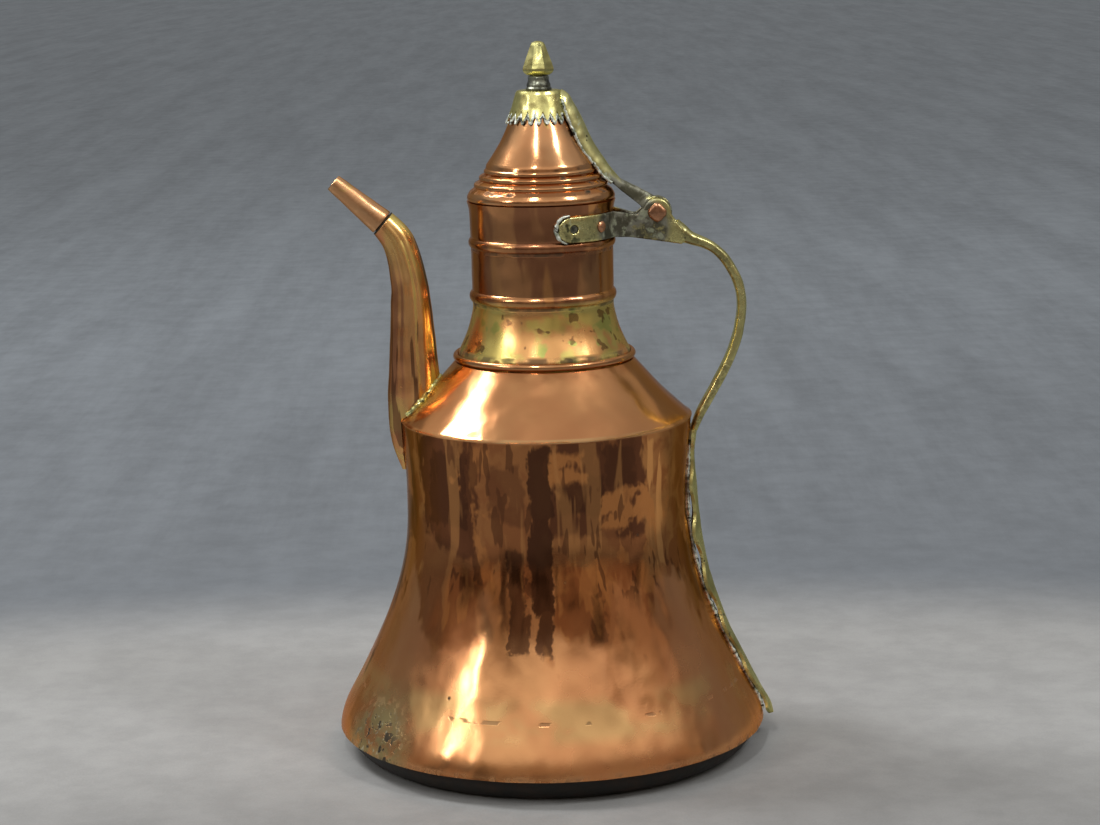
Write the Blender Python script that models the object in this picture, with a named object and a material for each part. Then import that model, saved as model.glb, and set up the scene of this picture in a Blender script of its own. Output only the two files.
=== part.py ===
"""A raised copper ewer with a hinged, crowned lid, a slender spout and a brass handle.

All sizes below are millimetres; add_solid() turns them into metres.  The pot stands on
z = 0 with its turning axis on Z, the spout towards -X and the handle towards +X.
"""
import math

import bmesh
import bpy
from mathutils import Matrix, Vector

# ---------------------------------------------------------------- driving dimensions
MM = 0.001
GAP = 0.3                      # clearance between pieces that meet
SHEET = 1.2                    # thickness of the copper sheet
THIN_SHEET = 1.0               # thickness of the lid's sheet
TURN_STEPS = 32                # facets of the vessel's turned pieces
CROWN_TEETH = 24

PAN_RADIUS = 105.2             # the base pan, which tucks inside the wall
PAN_CORNER = 12.0              # radius between the pan's flat and its side
PAN_TOP = 22.0
RIM_RADIUS = 109.6             # widest part, the wall's lower edge
RIM_HEIGHT = 12.6
CREASE_RADIUS = 73.8           # edge between the wall and the shoulder
CREASE_HEIGHT = 171.0
NECK_FOOT_HEIGHT = 200.6
MOUTH_HEIGHT = 281.5
MOUTH_RADIUS = 37.3
LID_SEAT = MOUTH_HEIGHT + GAP
TOTAL_HEIGHT = 360.0

HINGE = Vector((57.8, 0.0, 274.2))
PIN_RADIUS = 3.0
PIN_HEAD_RADIUS = 4.4
LUG_RADIUS = 7.7
LUG_HALF_WIDTH = 3.2
CHEEK_RADIUS = 7.0
CHEEK_INNER = LUG_HALF_WIDTH + GAP
CHEEK_OUTER = 6.5

ARM_INNER_RADIUS = 36.6        # the brackets' arms lie on the neck at this radius
ARM_THICKNESS = 1.8
RIVET_RADIUS = 2.0
RIVET_HEAD_RADIUS = 2.8
RIVET_HEIGHT = 269.8
RIVET_ANGLES = {"back": 40.0, "front": 65.0}

STRAP_HUG = 0.4                # how far the strap's edges follow the cone (0.5 is fully)

TAIL_CREST = 2.0               # the strip's ridge above its middle line
TAIL_SHEET = 2.4
TAIL_HALF_WIDTH = 7.3
TAIL_SCALLOP = 1.5             # how much the edges swing in and out
TAIL_PITCH = 26.5              # distance between two scallops

TANG_RADIUS = 2.0              # rod that holds the finial, crown and lid together
STRAINER_HOLE_RADIUS = 2.4

COPPER = (0.62, 0.27, 0.14)
DARK_COPPER = (0.42, 0.20, 0.11)
BRASS = (0.50, 0.43, 0.16)
GREY_METAL = (0.20, 0.20, 0.17)
SOOT = (0.07, 0.05, 0.04)


# ---------------------------------------------------------------- helpers
def clear_scene():
    for thing in list(bpy.data.objects):
        bpy.data.objects.remove(thing, do_unlink=True)


def metal(name, colour, roughness, metallic=1.0):
    """A Principled material of one metal."""
    material = bpy.data.materials.new(name)
    material.use_nodes = True
    shader = material.node_tree.nodes["Principled BSDF"]
    shader.inputs["Base Color"].default_value = (*colour, 1.0)
    shader.inputs["Roughness"].default_value = roughness
    shader.inputs["Metallic"].default_value = metallic
    material.diffuse_color = (*colour, 1.0)
    return material


def add_solid(name, bm, material):
    """Close a bmesh given in millimetres, turn it to metres and link it as an object."""
    bmesh.ops.remove_doubles(bm, verts=bm.verts, dist=1e-4)
    bmesh.ops.recalc_face_normals(bm, faces=bm.faces)
    bm.transform(Matrix.Scale(MM, 4))
    mesh = bpy.data.meshes.new(name)
    bm.to_mesh(mesh)
    bm.free()
    mesh.shade_smooth()
    mesh.set_sharp_from_angle(angle=math.radians(32))
    solid = bpy.data.objects.new(name, mesh)
    bpy.context.scene.collection.objects.link(solid)
    if material is not None:
        mesh.materials.append(material)
    return solid


def make_cutter(cutter):
    cutter.hide_render = True
    cutter.display_type = "WIRE"
    return cutter


def combine(target, other, operation):
    """Boolean modifier on target that reads other."""
    modifier = target.modifiers.new(operation.lower() + "_" + other.name, "BOOLEAN")
    modifier.operation = operation
    modifier.solver = "EXACT"
    modifier.object = other
    make_cutter(other)


def smooth_curve(points, substeps):
    """Catmull-Rom curve through tuples of any length."""
    curve = []
    for i in range(len(points) - 1):
        before = points[max(i - 1, 0)]
        start = points[i]
        end = points[i + 1]
        after = points[min(i + 2, len(points) - 1)]
        for k in range(substeps):
            t = k / substeps
            curve.append(tuple(
                0.5 * (2 * b + (c - a) * t + (2 * a - 5 * b + 4 * c - d) * t ** 2
                       + (3 * b - a - 3 * c + d) * t ** 3)
                for a, b, c, d in zip(before, start, end, after)))
    curve.append(tuple(points[-1]))
    return curve


def arc(centre, radius, start, end, count):
    """Points (r, z) of a round stretch, angles in degrees."""
    angles = [math.radians(start + (end - start) * i / count) for i in range(count + 1)]
    return [(centre[0] + radius * math.cos(a), centre[1] + radius * math.sin(a)) for a in angles]


def turned(name, outline, material, steps=TURN_STEPS, closed=True):
    """Spin an outline of (radius, height) about Z.

    A closed outline is a ring's section; an open one starts and ends on the axis.
    """
    bm = bmesh.new()
    verts = [bm.verts.new((radius, 0.0, height)) for radius, height in outline]
    edges = [bm.edges.new(pair) for pair in zip(verts, verts[1:])]
    if closed:
        edges.append(bm.edges.new((verts[-1], verts[0])))
    bmesh.ops.spin(bm, geom=verts + edges, cent=(0, 0, 0), axis=(0, 0, 1),
                   angle=2 * math.pi, steps=steps, use_merge=True)
    return add_solid(name, bm, material)


def loft(name, rings, material):
    """Skin rings of equally many points and cap both ends."""
    bm = bmesh.new()
    rows = [[bm.verts.new(point) for point in ring] for ring in rings]
    count = len(rows[0])
    for lower, upper in zip(rows, rows[1:]):
        for i in range(count):
            j = (i + 1) % count
            bm.faces.new((lower[i], lower[j], upper[j], upper[i]))
    bm.faces.new(rows[0])
    bm.faces.new(rows[-1])
    return add_solid(name, bm, material)


def cylinder(name, radius, start, end, material=None, sides=12):
    """Round bar from start to end."""
    bm = bmesh.new()
    length = (end - start).length
    bmesh.ops.create_cone(bm, cap_ends=True, segments=sides, radius1=radius, radius2=radius,
                          depth=length)
    turn = (end - start).to_track_quat("Z", "Y").to_matrix().to_4x4()
    bm.transform(Matrix.Translation((start + end) / 2) @ turn)
    return add_solid(name, bm, material)


def on_neck(radius, degrees, height):
    """Point at an angle from +X around the neck's axis."""
    angle = math.radians(degrees)
    return Vector((radius * math.cos(angle), radius * math.sin(angle), height))


def set_pivot(solid, pivot):
    """Move the object's origin to the pivot without moving the shape."""
    offset = pivot * MM
    solid.data.transform(Matrix.Translation(-offset))
    solid.location = offset


# ---------------------------------------------------------------- vessel
def wall_curve():
    """Outer line of the bell-shaped wall from the rim up to the crease."""
    return smooth_curve([
        (RIM_RADIUS, RIM_HEIGHT), (106.8, 22.0), (94.9, 45.0), (81.6, 75.0),
        (73.5, 105.0), (71.6, 135.0), (CREASE_RADIUS - 0.3, CREASE_HEIGHT - GAP)], 2)


def make_base_pan(material):
    """Shallow dish; its upper edge tucks inside the foot of the wall."""
    corner = (PAN_RADIUS - PAN_CORNER, PAN_CORNER)
    outline = [(0.0, 0.0)] + arc(corner, PAN_CORNER, -90, 0, 5)
    outline += [(PAN_RADIUS, PAN_TOP), (PAN_RADIUS - SHEET, PAN_TOP)]
    outline += arc(corner, PAN_CORNER - SHEET, 0, -90, 5) + [(0.0, SHEET)]
    return turned("base_pan", outline, material, closed=False)


def make_body_wall(material):
    """Bell-shaped wall, pierced with strainer holes behind the spout's root."""
    outer = wall_curve()
    inner = [(radius - SHEET, height) for radius, height in outer]
    wall = turned("body_wall", outer[::-1] + inner, material)
    holes = [(0.0, 152.5), (-4.0, 159.0), (4.0, 159.0), (-6.5, 165.5), (0.0, 165.5), (6.5, 165.5)]
    for index, (across, height) in enumerate(holes):
        cutter = cylinder("strainer_cutter_%d" % index, STRAINER_HOLE_RADIUS,
                          Vector((-80.0, across, height)), Vector((-60.0, across, height)), sides=8)
        combine(wall, cutter, "DIFFERENCE")
    return wall


def shoulder_curve():
    return smooth_curve([
        (CREASE_RADIUS, CREASE_HEIGHT), (59.5, 184.6), (49.6, 195.6), (45.2, NECK_FOOT_HEIGHT)], 2)


def make_shoulder(material):
    """Cone between wall and neck; a short skirt hangs inside the wall's top edge."""
    outer = shoulder_curve()
    skirt_radius = CREASE_RADIUS - 0.3 - SHEET - GAP
    inner = [(radius - SHEET * 0.8, height - SHEET * 0.8) for radius, height in outer[1:-1]]
    outline = outer[::-1] + [(skirt_radius, CREASE_HEIGHT), (skirt_radius - 0.6, 163.0),
                             (skirt_radius - 0.6 - SHEET, 163.0), (skirt_radius - SHEET, 170.6)]
    outline += inner + [(44.0, NECK_FOOT_HEIGHT - 0.9), (44.0, NECK_FOOT_HEIGHT)]
    return turned("shoulder", outline, material)


def bead(radius, height, swell, half_height):
    """Swaged bead on the neck, from its top to its bottom."""
    return [(radius, height + half_height), (radius + swell, height + half_height * 0.45),
            (radius + swell, height - half_height * 0.45), (radius, height - half_height)]


def make_neck(material):
    """Neck with two swaged beads, flaring at the mouth and at the foot."""
    mouth = [(MOUTH_RADIUS, MOUTH_HEIGHT), (36.2, 277.0), (36.0, 271.0)]
    upper_bead = bead(36.0, 260.6, 0.9, 2.6)
    lower_bead = bead(35.9, 233.7, 1.0, 2.9)
    foot = smooth_curve([(35.8, 226.5), (38.5, 216.0), (43.5, 205.0)], 3)
    socket = [(43.4, NECK_FOOT_HEIGHT - 4.0)]
    inner = [(42.2, NECK_FOOT_HEIGHT - 4.0), (42.3, 204.6), (37.3, 215.6), (34.6, 226.3),
             (34.7, 233.0), (34.8, 262.0), (34.8, 271.0), (35.0, 277.0), (35.9, MOUTH_HEIGHT)]
    neck = turned("neck", mouth + upper_bead + lower_bead + foot + socket + inner, material)
    for side in (-1, 1):
        for place, angle in RIVET_ANGLES.items():
            cut_rivet_hole(neck, "neck_%s_%d" % (place, side), side * angle)
    return neck


def make_neck_foot_ring(material):
    ring = [(43.9, 204.8), (44.9, 205.2), (45.9, 204.3), (46.3, 203.0), (45.9, 201.7),
            (44.9, NECK_FOOT_HEIGHT + GAP), (43.9, NECK_FOOT_HEIGHT + GAP)]
    return turned("neck_foot_ring", ring, material)


# ---------------------------------------------------------------- spout
SPOUT_TIP_START = Vector((-80.1, 0.0, 271.3))
SPOUT_TIP_END = Vector((-103.8, 0.0, 292.0))


def spout_stations():
    """Sections of the spout: centre x, centre z, half depth, half width, tilt in degrees.

    The tilt turns the section from level (0) to the slope of the tip.
    """
    return smooth_curve([
        (-70.8, 144.7, 3.0, 1.6, 0.0),
        (-68.0, 158.0, 10.4, 7.0, 0.0),
        (-66.8, 172.0, 13.2, 10.4, 0.0),
        (-66.4, 186.0, 13.4, 11.8, 0.0),
        (-66.4, 203.0, 12.2, 11.0, 0.0),
        (-66.7, 227.8, 10.4, 9.6, -1.0),
        (-67.6, 241.0, 9.5, 8.9, 20.0),
        (-69.9, 254.0, 8.9, 8.5, 30.0),
        (-73.4, 263.4, 8.0, 7.9, 38.0),
        (-79.8, 271.1, 7.0, 7.0, 48.8)], 2)


def spout_rings(shrink, stations):
    """Rings of an oval tube, made smaller by shrink."""
    sides = 16
    rings = []
    for x, z, depth, width, tilt in stations:
        slope = math.radians(tilt)
        along = Vector((math.cos(slope), 0.0, math.sin(slope)))
        ring = []
        for i in range(sides):
            angle = 2 * math.pi * i / sides
            point = Vector((x, 0.0, z)) + along * ((depth - shrink) * math.cos(angle))
            ring.append(point + Vector((0.0, (width - shrink) * math.sin(angle), 0.0)))
        rings.append(ring)
    return rings


def make_spout_tube(material):
    """Tube standing on the shoulder, with a pointed heel that runs down the wall."""
    stations = spout_stations()
    tube = loft("spout_tube", spout_rings(0.0, stations), material)
    end = stations[-1]
    beyond = (end[0] - 3.7, end[1] + 3.3, *end[2:])
    bore = loft("spout_bore", spout_rings(SHEET, stations[3:] + [beyond]), None)
    combine(tube, bore, "DIFFERENCE")
    wall = [(radius + GAP, height) for radius, height in wall_curve() if height > 100]
    shoulder = [(radius + GAP, height + GAP) for radius, height in shoulder_curve()]
    envelope = [(0.0, 100.0)] + [(wall[0][0], 100.0)] + wall + shoulder + [(0.0, 201.0)]
    vessel = turned("vessel_envelope", envelope, None, closed=False)
    combine(tube, vessel, "DIFFERENCE")
    return tube


def make_spout_tip_sleeve(material):
    """Tapered end piece; its spigot slides into the tube."""
    length = (SPOUT_TIP_END - SPOUT_TIP_START).length
    spigot = 3.2
    outline = [(4.45, length), (5.6, length * 0.45), (6.8, 0.0), (5.1, 0.0), (4.9, -spigot),
               (4.0, -spigot), (4.3, 0.0), (3.6, length)]
    sleeve = turned("spout_tip_sleeve", outline, material, steps=16)
    sleeve.location = SPOUT_TIP_START * MM
    sleeve.rotation_euler = (SPOUT_TIP_END - SPOUT_TIP_START).to_track_quat("Z", "Y").to_euler()
    return sleeve


# ---------------------------------------------------------------- lid
def make_lid_shell(material):
    """Conical lid with three steps above its rim, open below."""
    steps = [(28.1, 297.2), (28.3, 295.6), (30.4, 294.2), (30.8, 292.2), (33.1, 290.4),
             (33.5, 288.2), (36.0, 285.6), (37.0, 283.8), (37.0, LID_SEAT)]
    cone = smooth_curve([(12.7, 327.0), (15.0, 321.0), (20.2, 310.0), (27.2, 299.0)], 2)
    top = [(TANG_RADIUS + GAP, 334.5), (9.6, 334.5), (10.6, 333.2), (11.7, 330.0)]
    flange = [(34.5, LID_SEAT), (34.5, 283.4)]
    inner_steps = [(31.9, 287.6), (29.0, 292.0), (26.7, 296.0)]
    inner_cone = [(radius - THIN_SHEET * 1.1, height - 0.4) for radius, height in cone]
    inner_top = [(10.0, 330.2), (9.2, 333.3), (TANG_RADIUS + GAP, 333.4)]
    outline = top + cone + steps + flange + inner_steps + inner_cone[::-1] + inner_top
    return turned("lid_shell", outline, material)


def make_lid_inner_collar(material):
    """Ring that drops into the mouth and keeps the closed lid centred."""
    outline = [(34.2, 283.2), (34.2, 281.0), (33.6, 277.5), (32.6, 277.5), (33.2, 281.0),
               (33.2, 283.2)]
    return turned("lid_inner_collar", outline, material)


def make_lid_crown(material):
    """Brass cap over the cone's tip; its lower edge is cut into teeth."""
    thickness = 0.9
    shape = [(TANG_RADIUS + GAP, 335.9), (10.6, 335.9), (11.8, 334.4), (13.0, 330.4), (14.0, 327.2)]
    tip = (16.3, 321.0)
    root = (14.5, 325.6)
    count = 2 * CROWN_TEETH
    rows = [[point] * count for point in shape]
    rows.append([tip if i % 2 else root for i in range(count)])
    drop = [thickness, thickness, thickness, 0.0, 0.0, 0.0]
    inset = [0.0, 0.3, thickness, thickness, thickness, thickness]
    for row, down, inward in list(zip(rows, drop, inset))[::-1]:
        rows.append([(radius - inward, height - down) for radius, height in row])
    bm = bmesh.new()
    rings = []
    for row in rows:
        ring = []
        for i, (radius, height) in enumerate(row):
            angle = 2 * math.pi * i / count
            ring.append(bm.verts.new((radius * math.cos(angle), radius * math.sin(angle), height)))
        rings.append(ring)
    for ring, after in zip(rings, rings[1:] + rings[:1]):
        for i in range(count):
            j = (i + 1) % count
            bm.faces.new((ring[i], ring[j], after[j], after[i]))
    return add_solid("lid_crown", bm, material)


def make_lid_strap(material):
    """Arched strap from the crown down the lid, ending in the hinge's lug."""
    stations = [  # inner x, inner z, outer x, outer z, half width
        (12.9, 333.2, 14.2, 334.0, 5.8),
        (14.7, 327.0, 17.4, 328.3, 7.0),
        (16.9, 320.6, 20.9, 322.4, 7.8),
        (22.1, 308.2, 26.4, 310.2, 8.2),
        (28.2, 299.2, 31.9, 301.6, 7.6),
        (32.5, 292.9, 36.4, 295.2, 6.8),
        (36.2, 288.9, 39.8, 291.3, 5.6),
        (39.9, 285.4, 44.2, 288.8, 4.2),
        (44.6, 281.6, 50.2, 285.8, LUG_HALF_WIDTH),
        (52.0, 275.4, 57.4, 281.6, LUG_HALF_WIDTH)]
    under = [(across / 2, 0.0) for across in range(-2, 3)]
    section = under + [(1.0, 0.3), (0.75, 0.75), (0.35, 1.0), (-0.35, 1.0), (-0.75, 0.75), (-1.0, 0.3)]
    rings = []
    for inner_x, inner_z, outer_x, outer_z, width in stations:
        inner = Vector((inner_x, 0.0, inner_z))
        rise = Vector((outer_x, 0.0, outer_z)) - inner
        round_cone = width ** 2 / inner_x * STRAP_HUG
        ring = []
        for across, up in section:
            sunk = rise.normalized() * (round_cone * across ** 2)
            ring.append(inner + rise * up - sunk + Vector((0.0, across * width, 0.0)))
        rings.append(ring)
    strap = loft("lid_strap", rings, material)
    half = Vector((0.0, LUG_HALF_WIDTH + 0.01, 0.0))
    lug = cylinder("lug_core", LUG_RADIUS, HINGE - half, HINGE + half, sides=28)
    combine(strap, lug, "UNION")
    reach = Vector((0.0, 12.0, 0.0))
    hole = cylinder("lug_hole", PIN_RADIUS + GAP, HINGE - reach, HINGE + reach, sides=16)
    combine(strap, hole, "DIFFERENCE")
    for piece in (strap, lug, hole):
        set_pivot(piece, HINGE)
    return strap


def make_finial(material):
    """Eight-sided bud on a tang that is peened over inside the lid."""
    outline = [(0.0, TOTAL_HEIGHT), (2.4, TOTAL_HEIGHT - 0.3), (3.7, TOTAL_HEIGHT - 1.6), (5.2, 354.0),
               (7.0, 349.4), (8.0, 346.0), (7.4, 344.4), (5.6, 343.3), (TANG_RADIUS, 343.3),
               (TANG_RADIUS, 331.9), (3.2, 331.6), (2.6, 330.4), (0.0, 330.2)]
    return turned("finial", outline, material, steps=8, closed=False)


def make_finial_collar(material):
    bore = TANG_RADIUS + GAP
    outline = [(bore, 343.0), (5.2, 343.0), (6.0, 341.8), (5.4, 340.4), (6.4, 338.2), (6.6, 336.2),
               (bore, 336.2)]
    return turned("finial_collar", outline, material, steps=24)


def make_finial_washer(material):
    bore = TANG_RADIUS + GAP
    outline = [(bore, 333.0), (5.4, 333.0), (5.4, 332.2), (bore, 332.2)]
    return turned("finial_washer", outline, material, steps=16)


# ---------------------------------------------------------------- handle
def cut_rivet_hole(target, name, degrees):
    """Radial hole through the neck's wall or a bracket arm."""
    hole = cylinder("hole_" + name, RIVET_RADIUS + GAP, on_neck(30.0, degrees, RIVET_HEIGHT),
                    on_neck(44.0, degrees, RIVET_HEIGHT), sides=12)
    combine(target, hole, "DIFFERENCE")


def fork_lower_edge(x):
    """The fork's underside falls gently from the neck to the bow."""
    return 262.6 - 0.157 * (x - 40.0)


def prong_rings(side):
    """One cheek of the fork and the arm that it sends round the neck."""
    cheek_y = (CHEEK_INNER + CHEEK_OUTER) / 2
    cheek = CHEEK_OUTER - CHEEK_INNER
    stations = [(69.4, cheek_y, cheek, 267.0), (66.8, cheek_y, cheek, 270.2)]
    for degrees in range(-5, 166, 17):
        angle = math.radians(degrees)
        stations.append((HINGE.x + CHEEK_RADIUS * math.cos(angle), cheek_y, cheek,
                         HINGE.z + CHEEK_RADIUS * math.sin(angle)))
    stations += [(47.6, cheek_y, cheek, 273.6), (43.6, 5.9, 2.6, 274.2)]
    levels = [(x, y, thick, fork_lower_edge(x), top) for x, y, thick, top in stations]
    for degrees, shorten in ((19, 0), (30, 0), (41, 0), (52, 0), (63, 0), (69, 0.7), (74, 2.3), (77.5, 5)):
        point = on_neck(ARM_INNER_RADIUS + ARM_THICKNESS / 2, degrees, 0.0)
        levels.append((point.x, point.y, ARM_THICKNESS, 262.9 + shorten, 276.0 - shorten))
    rings = []
    for i, (x, y, thick, low, high) in enumerate(levels):
        before = levels[max(i - 1, 0)]
        after = levels[min(i + 1, len(levels) - 1)]
        heading = Vector((after[0] - before[0], (after[1] - before[1]), 0.0)).normalized()
        across = Vector((-heading.y, heading.x, 0.0)) * (thick / 2)
        middle = Vector((x, y, 0.0))
        plan = (middle - across, middle + across)
        ring = []
        for point, height in ((plan[0], low), (plan[1], low), (plan[1], high), (plan[0], high)):
            ring.append(Vector((point.x, point.y * side, height)))
        rings.append(ring)
    return rings


def make_handle_bow(material):
    """Bow of the handle; its upper end forks into two cheeks and two arms."""
    stations = smooth_curve([  # centre x, centre z, half thickness, half width
        (66.2, 264.4, 6.1, 6.2),
        (75.0, 260.2, 3.1, 5.6),
        (84.5, 256.2, 2.5, 4.8),
        (92.2, 249.0, 2.5, 4.5),
        (98.4, 237.4, 2.5, 4.5),
        (100.1, 225.6, 2.4, 4.5),
        (98.2, 211.8, 2.5, 4.5),
        (94.1, 199.6, 2.5, 4.6),
        (87.9, 187.4, 2.5, 4.8),
        (82.4, 177.4, 2.4, 5.2),
        (78.6, 170.6, 2.2, 5.8),
        (75.1, 162.4, 1.8, 6.6)], 2)
    bow = loft("handle_bow", bar_rings(stations), material)
    for side in (-1, 1):
        prong = loft("fork_prong_%d" % side, prong_rings(side), None)
        combine(bow, prong, "UNION")
    reach = Vector((0.0, 12.0, 0.0))
    hole = cylinder("fork_hole", PIN_RADIUS + GAP, HINGE - reach, HINGE + reach, sides=16)
    combine(bow, hole, "DIFFERENCE")
    for side in (-1, 1):
        for place, angle in RIVET_ANGLES.items():
            cut_rivet_hole(bow, "arm_%s_%d" % (place, side), side * angle)
    return bow


def bar_rings(stations):
    """Rings of a flat bar with bevelled corners that follows a path in the XZ plane."""
    bevel = 0.55
    section = [(1, bevel), (bevel, 1), (-bevel, 1), (-1, bevel), (-1, -bevel), (-bevel, -1), (bevel, -1),
               (1, -bevel)]
    rings = []
    for i, (x, z, thick, width) in enumerate(stations):
        before = stations[max(i - 1, 0)]
        after = stations[min(i + 1, len(stations) - 1)]
        heading = Vector((after[0] - before[0], 0.0, after[1] - before[1])).normalized()
        outward = Vector((-heading.z, 0.0, heading.x))
        if i == 0:
            outward = Vector((0.0, 0.0, 1.0))
        middle = Vector((x, 0.0, z))
        rings.append([middle + outward * (up * thick) + Vector((0.0, across * width, 0.0))
                      for across, up in section])
    return rings


def wall_distance(x, z, wall):
    return math.dist((x, z), min(wall, key=lambda point: math.dist((x, z), point)))


def make_handle_tail(material):
    """Arched strip with scalloped edges that bend down to the wall, as far as the rim."""
    path = smooth_curve([(75.1, 161.2), (73.4, 151.0), (74.5, 136.0), (75.6, 120.7), (77.5, 105.0),
                         (80.6, 89.0), (85.5, 73.0), (91.5, 57.0), (99.3, 41.0), (103.2, 33.0),
                         (107.1, 25.0), (111.6, 17.3), (113.4, 11.4)], 2)
    wall = smooth_curve(wall_curve(), 6)
    travelled = 0.0
    rings = []
    for i, (x, z) in enumerate(path):
        if i:
            travelled += math.dist(path[i], path[i - 1])
        before = path[max(i - 1, 0)]
        after = path[min(i + 1, len(path) - 1)]
        heading = Vector((after[0] - before[0], 0.0, after[1] - before[1])).normalized()
        outward = Vector((-heading.z, 0.0, heading.x))
        width = TAIL_HALF_WIDTH + TAIL_SCALLOP * math.cos(2 * math.pi * travelled / TAIL_PITCH)
        if i >= len(path) - 2:
            width *= 0.8
        rise = wall_distance(x, z, wall) + TAIL_CREST - TAIL_SHEET - 2 * GAP
        top = []
        for step in range(-3, 4):
            across = width * step / 3
            sunk = rise * (across / (TAIL_HALF_WIDTH + TAIL_SCALLOP)) ** 2
            top.append((across, TAIL_CREST - sunk))
        section = top + [(across, up - TAIL_SHEET) for across, up in top[::-1]]
        middle = Vector((x, 0.0, z))
        rings.append([middle + Vector((0.0, across, 0.0)) + outward * up for across, up in section])
    return loft("handle_tail", rings, material)


def make_hinge_pin(material):
    """Copper pin through both cheeks and the lug, hammered over at each end."""
    face = CHEEK_OUTER + GAP
    head = PIN_HEAD_RADIUS
    outline = [(0.0, face + 1.7), (head * 0.6, face + 1.5), (head, face + 0.7), (head, face),
               (PIN_RADIUS, face), (PIN_RADIUS, -face), (head, -face), (head, -face - 0.7),
               (head * 0.6, -face - 1.5), (0.0, -face - 1.7)]
    pin = turned("hinge_pin", outline, material, steps=16, closed=False)
    pin.location = HINGE * MM
    pin.rotation_euler = (math.radians(90), 0.0, 0.0)
    return pin


def make_neck_rivet(name, degrees, has_head, material):
    """Rivet through a bracket arm and the neck's wall; one has lost its outer head."""
    inside = 33.6
    outside = ARM_INNER_RADIUS + ARM_THICKNESS
    head = RIVET_HEAD_RADIUS
    if has_head:
        outline = [(0.0, outside + 1.6), (head * 0.6, outside + 1.4), (head, outside + 0.5),
                   (RIVET_RADIUS, outside + 0.45)]
    else:
        outline = [(0.0, outside - 0.8), (RIVET_RADIUS, outside - 0.8)]
    outline += [(RIVET_RADIUS, inside - 0.2), (head, inside - 0.3), (head * 0.6, inside - 1.1),
                (0.0, inside - 1.2)]
    rivet = turned(name, outline, material, steps=12, closed=False)
    axis = on_neck(1.0, degrees, 0.0)
    rivet.location = Vector((0.0, 0.0, RIVET_HEIGHT)) * MM
    rivet.rotation_euler = axis.to_track_quat("Z", "Y").to_euler()
    return rivet


# ---------------------------------------------------------------- assembly
def hang_lid(pieces):
    """Parent the lid's pieces to an empty that sits on the hinge axis."""
    axis = bpy.data.objects.new("lid_hinge_axis", None)
    axis.location = HINGE * MM
    bpy.context.scene.collection.objects.link(axis)
    for piece in pieces:
        piece.parent = axis
        piece.matrix_parent_inverse = Matrix.Translation(-HINGE * MM)


def main():
    clear_scene()
    copper = metal("hammered_copper", COPPER, 0.25)
    dark_copper = metal("dark_copper", DARK_COPPER, 0.38)
    brass = metal("aged_brass", BRASS, 0.34)
    grey = metal("tarnished_collar", GREY_METAL, 0.5)
    soot = metal("sooted_copper", SOOT, 0.6)
    make_base_pan(soot)
    make_body_wall(copper)
    make_shoulder(copper)
    make_neck(dark_copper)
    make_neck_foot_ring(copper)
    make_spout_tube(copper)
    make_spout_tip_sleeve(dark_copper)
    make_handle_bow(brass)
    make_handle_tail(brass)
    make_hinge_pin(copper)
    for side_name, side in (("near", -1), ("far", 1)):
        for place, angle in RIVET_ANGLES.items():
            lost_head = (side_name, place) == ("near", "front")
            make_neck_rivet("neck_rivet_%s_%s" % (side_name, place), side * angle, not lost_head,
                            copper)
    hang_lid([make_lid_shell(copper), make_lid_inner_collar(copper), make_lid_crown(brass),
              make_finial(brass), make_finial_collar(grey), make_finial_washer(brass)])
    make_lid_strap(brass)


main()
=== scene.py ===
"""Looks of the copper ewer: hammered copper vessel and lid, aged brass handle, strap and finial.

Lengths in the outlines are millimetres in the CAD frame; meshes are scaled to metres when made.
The spout points to -X, the handle to +X, and the viewer of the main view stands at -Y.
"""

import math

import bmesh
import bpy
from mathutils import Matrix, Vector, noise


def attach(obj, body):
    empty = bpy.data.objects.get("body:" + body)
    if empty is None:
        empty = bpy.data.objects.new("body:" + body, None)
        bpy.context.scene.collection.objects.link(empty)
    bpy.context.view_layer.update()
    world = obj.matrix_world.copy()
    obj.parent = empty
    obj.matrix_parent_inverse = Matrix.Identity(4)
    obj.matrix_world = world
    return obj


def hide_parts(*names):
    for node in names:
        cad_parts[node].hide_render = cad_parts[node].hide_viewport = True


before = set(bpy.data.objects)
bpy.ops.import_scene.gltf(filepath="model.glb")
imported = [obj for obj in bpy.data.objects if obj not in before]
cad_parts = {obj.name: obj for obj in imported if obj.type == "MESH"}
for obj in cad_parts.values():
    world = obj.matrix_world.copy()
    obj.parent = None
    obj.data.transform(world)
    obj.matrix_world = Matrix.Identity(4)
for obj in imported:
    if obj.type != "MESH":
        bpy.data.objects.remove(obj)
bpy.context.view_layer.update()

MM = 0.001
SHEET = 1.2
HINGE = Vector((57.8, 0.0, 274.2))
CREASE_RADIUS = 73.8
CREASE_HEIGHT = 171.0
NECK_FOOT_HEIGHT = 200.6
MOUTH_HEIGHT = 281.5
DENT_FADE = 28.0               # height over which the shoulder's dents die away
BODY_STEPS = 288               # points round the body
LID_SEAT = 281.8
RIVET_HEIGHT = 269.8
SEAM_ANGLE = 30.0              # the neck's soldered seam, degrees from -Y towards +X
SPOUT_TIP_START = Vector((-80.1, 0.0, 271.3))
SPOUT_TIP_END = Vector((-103.8, 0.0, 292.0))
SLEEVE_WAY = (-0.753, 0.0, 0.658)
SPOUT_CREASES = ((-118, 0.55), (-96, 0.35), (-70, 0.45), (-38, 0.30), (62, 0.45), (105, 0.5))
CROWN_TEETH = 24
STRAP_ARCH_POINTS = 33
TAIL_HALF_WIDTH = 7.2
TAIL_SCALLOP = 1.9
TAIL_PITCH = 26.5
TAIL_CREST = 2.0


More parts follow.
